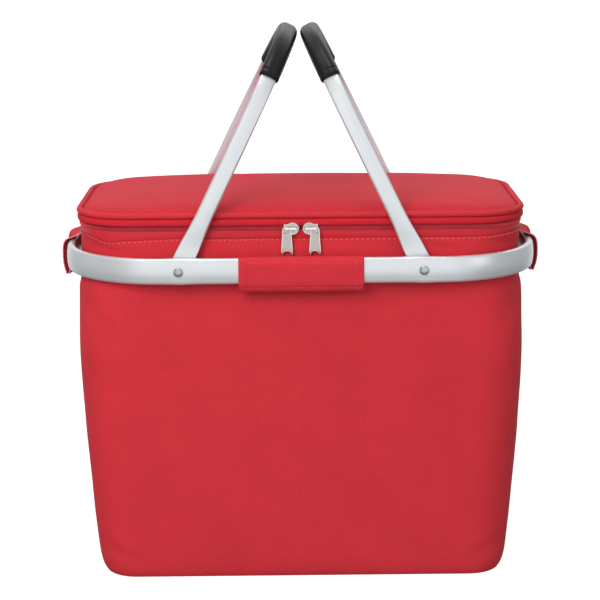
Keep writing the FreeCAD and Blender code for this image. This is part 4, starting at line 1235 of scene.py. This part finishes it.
def finish_metal(name, recess_shaded, bright, node):
    """One piece from recessed blocks, rougher and darkened as painted shade, and polished blocks; its body has
    its node's name.
    """
    made = joined(name, recess_shaded + bright, SHADED_DULL_NICKEL, node)
    made.data.materials.append(NICKEL)
    first = sum(len(faces) for _, faces in recess_shaded)
    for k, face in enumerate(made.data.polygons):
        face.material_index = int(k >= first)
    face_outwards(made)
    made.data.set_sharp_from_angle(angle=math.radians(35))
    record(made, node)


def make_slider(name, side):
    """Cast slider: shield-shaped front plate with a raised edge, a bridge on two posts, and its back plate."""
    x = side * SLIDER_X
    face = loop_line(SLIDER_FACE, side, x, SLIDER_LEVEL, 120)
    # Recessed plates take the darker nickel: painted shade
    recess_shaded = [plate([face], 104.0, 105.0, 0.25),
            plate([loop_line(SLIDER_BACK, side, x, SLIDER_LEVEL, 80)], 100.6, 101.6, 0.25),
            plate([loop_line(SLIDER_WEB, side, x, SLIDER_LEVEL, 40)], 101.4, 104.2, 0.1)]
    bright = [plate([face, scaled(face, 0.9)], 104.6, 105.6, 0.25),
              plate([loop_line(SLIDER_BAR, side, x, BAR_LEVEL, 70)], 107.45, 108.75, 0.5)]
    bright += [rod(x + reach, POST_LEVEL, 104.8, 108.0, 0.72) for reach in (-4.7, 4.7)]
    finish_metal(name + "_body", recess_shaded, bright, name)


def make_pull(name, side):
    """Flat stamped pull with a raised edge, a window round the bridge's post and an arched hole at its end."""
    x = side * (SLIDER_X + 3.7)
    outline, window, hole = (loop_line(points, side, x, POST_LEVEL, count)
                             for points, count in ((PULL, 200), (PULL_WINDOW, 60), (PULL_HOLE, 70)))
    # The recessed face takes the darker nickel: painted shade
    recess_shaded = [plate([outline, window, hole], 106.2, 106.7, 0.12)]
    bright = [plate(loops, 106.4, 107.3, 0.25) for loops in ([outline, scaled(outline, 1.15)],
                                                             [scaled(hole, -0.9), hole])]
    finish_metal(name + "_tab", recess_shaded, bright, name)


# ---------------------------------------------------------------- the bag

make_shell()
make_base()
make_shell_stitching()
make_wall_foam()
make_floor_foam()
make_lining()
make_rim_binding()
make_lower_tape()
make_upper_tape()
make_coils()
make_end_stops()
make_lid()
make_lid_foam()
make_lid_lining()
make_piping()
make_lid_band()
make_hinge()
make_frame_half("frame_tube_right_drawn", "frame_tube_right", RING_GAP, RING.length / 2 - RING_GAP)
make_frame_half("frame_tube_left_drawn", "frame_tube_left", RING.length / 2 + RING_GAP, RING.length - RING_GAP)
make_sleeve("front_sleeve_cloth", "front_sleeve", -1, 71)
make_sleeve("rear_sleeve_cloth", "rear_sleeve", 1, 76)
make_end_loop("left_loop_strap", "left_loop", -1)
make_end_loop("right_loop_strap", "right_loop", 1)
for hand, turn in (("left", -1), ("right", 1)):
    make_bail(hand + "_bail_bent_tube", hand + "_bail_tube", turn, hand + "_bail")
    make_grip(hand + "_grip_moulding", hand + "_grip", turn, hand + "_bail")
    make_slider(hand + "_slider", turn)
    make_pull(hand + "_pull", turn)
make_rivets()

for node, finish in CAD_FINISHES.items():
    slots = frame["nodes"][node].data.materials
    slots.clear()
    slots.append(finish)


# ---------------------------------------------------------------- stage, light and camera

FLOOR_HALF_WIDTH, FLOOR_FRONT, FLOOR_BACK = 4.0, -2.2, 1.4
BACKDROP_BEND, BACKDROP_TOP = 0.8, 4.0
CENTRE = (0, 0, 0.25)
# Brightness of the studio round the bag at each height: (sine of the elevation, grey)
STUDIO = [(-1.0, 0.26), (-0.62, 0.22), (-0.42, 0.42), (-0.24, 0.95), (-0.10, 0.95), (0.08, 0.52), (0.40, 0.34),
          (0.75, 0.60), (1.0, 0.60)]


def make_stage():
    """White floor that bends up into the backdrop."""
    line = [(FLOOR_FRONT, 0.0), (FLOOR_BACK, 0.0)]
    for t in np.linspace(0, math.pi / 2, 14)[1:]:
        line.append((FLOOR_BACK + BACKDROP_BEND * math.sin(t), BACKDROP_BEND * (1 - math.cos(t))))
    line.append((FLOOR_BACK + BACKDROP_BEND, BACKDROP_TOP))
    rows = [[(x, y, z) for x in (-FLOOR_HALF_WIDTH, FLOOR_HALF_WIDTH)] for y, z in line]
    white = Shader("white stage", Roughness=1.0, Base_Color=(0.30, 0.30, 0.30, 1), Specular_IOR_Level=0.0,
                   Emission_Color=(1, 1, 1, 1), Emission_Strength=0.93)
    made = grid_object("backdrop", rows, white.material, None, closed=False)
    made.visible_diffuse = made.visible_glossy = False


def add_light(name, place, target, size, power):
    """Rectangular soft light at place, turned towards target; size is (width, height) in metres."""
    light = bpy.data.lights.new(name, "AREA")
    light.shape, light.energy = "RECTANGLE", power
    light.size, light.size_y = size
    made = bpy.data.objects.new(name, light)
    made.location = place
    made.rotation_euler = (Vector(target) - Vector(place)).to_track_quat("-Z", "Y").to_euler()
    bpy.context.scene.collection.objects.link(made)
    return made


def make_world():
    """Studio light from all round, brightest just below the horizon and overhead, and dimmer at the sides."""
    world = bpy.data.worlds.new("studio")
    sky = Nodes(world)
    axes = sky.add("SeparateXYZ", {0: sky.add("TexCoord")})
    ramp = sky.add("ValToRGB", {0: sky.add("MapRange", {0: axes.node.outputs[2], 1: -1.0})})
    stops = ramp.node.color_ramp.elements
    for (height, grey), known in zip(STUDIO, [stops[0], stops[1]] + [None] * len(STUDIO)):
        stop = known or stops.new(0.5)
        stop.position, stop.color = (height + 1) / 2, (grey * 0.98, grey, grey * 1.02, 1)
    fall = {0: sky.math("ABSOLUTE", axes), 1: 0.35, 2: 0.85, 3: 1.0, 4: 0.45}
    shade = sky.add("MapRange", fall, interpolation_type="SMOOTHSTEP")
    sky.set(sky.tree.nodes["Background"], {"Color": ramp, "Strength": shade})
    bpy.context.scene.world = world


def add_camera():
    """Camera a little above the bag's front, level within half a degree."""
    azimuth, elevation, roll, distance = math.radians(-0.4), math.radians(12.923), math.radians(-0.42), 1.750
    target = Vector((-0.0005, 0, 0.2474))
    back = Vector((math.sin(azimuth) * math.cos(elevation), -math.cos(azimuth) * math.cos(elevation),
                   math.sin(elevation)))
    right = Vector((0, 0, 1)).cross(back).normalized()
    up = back.cross(right)
    x_axis = right * math.cos(roll) + up * math.sin(roll)
    y_axis = up * math.cos(roll) - right * math.sin(roll)
    camera = bpy.data.cameras.new("camera")
    camera.lens, camera.sensor_width = 107.213, 36.0
    camera.clip_start, camera.clip_end = 0.05, 30.0
    made = bpy.data.objects.new("camera", camera)
    turned = Matrix((x_axis, y_axis, back)).transposed().to_4x4()
    turned.translation = target + back * distance
    made.matrix_world = turned
    bpy.context.scene.collection.objects.link(made)
    bpy.context.scene.camera = made


make_stage()
add_light("key", (-0.72, -1.38, 1.15), CENTRE, (0.9, 0.9), 18.2).visible_glossy = False
add_light("fill", (1.9, -1.6, 0.8), CENTRE, (0.8, 1.4), 3)
add_light("top", (-0.2, -0.2, 1.9), CENTRE, (1.1, 0.5), 5.5)
add_light("rim", (0.4, 1.3, 1.5), (0, 0, 0.35), (1.8, 0.6), 5)
make_world()
bpy.context.scene.view_settings.view_transform = "Standard"
add_camera()
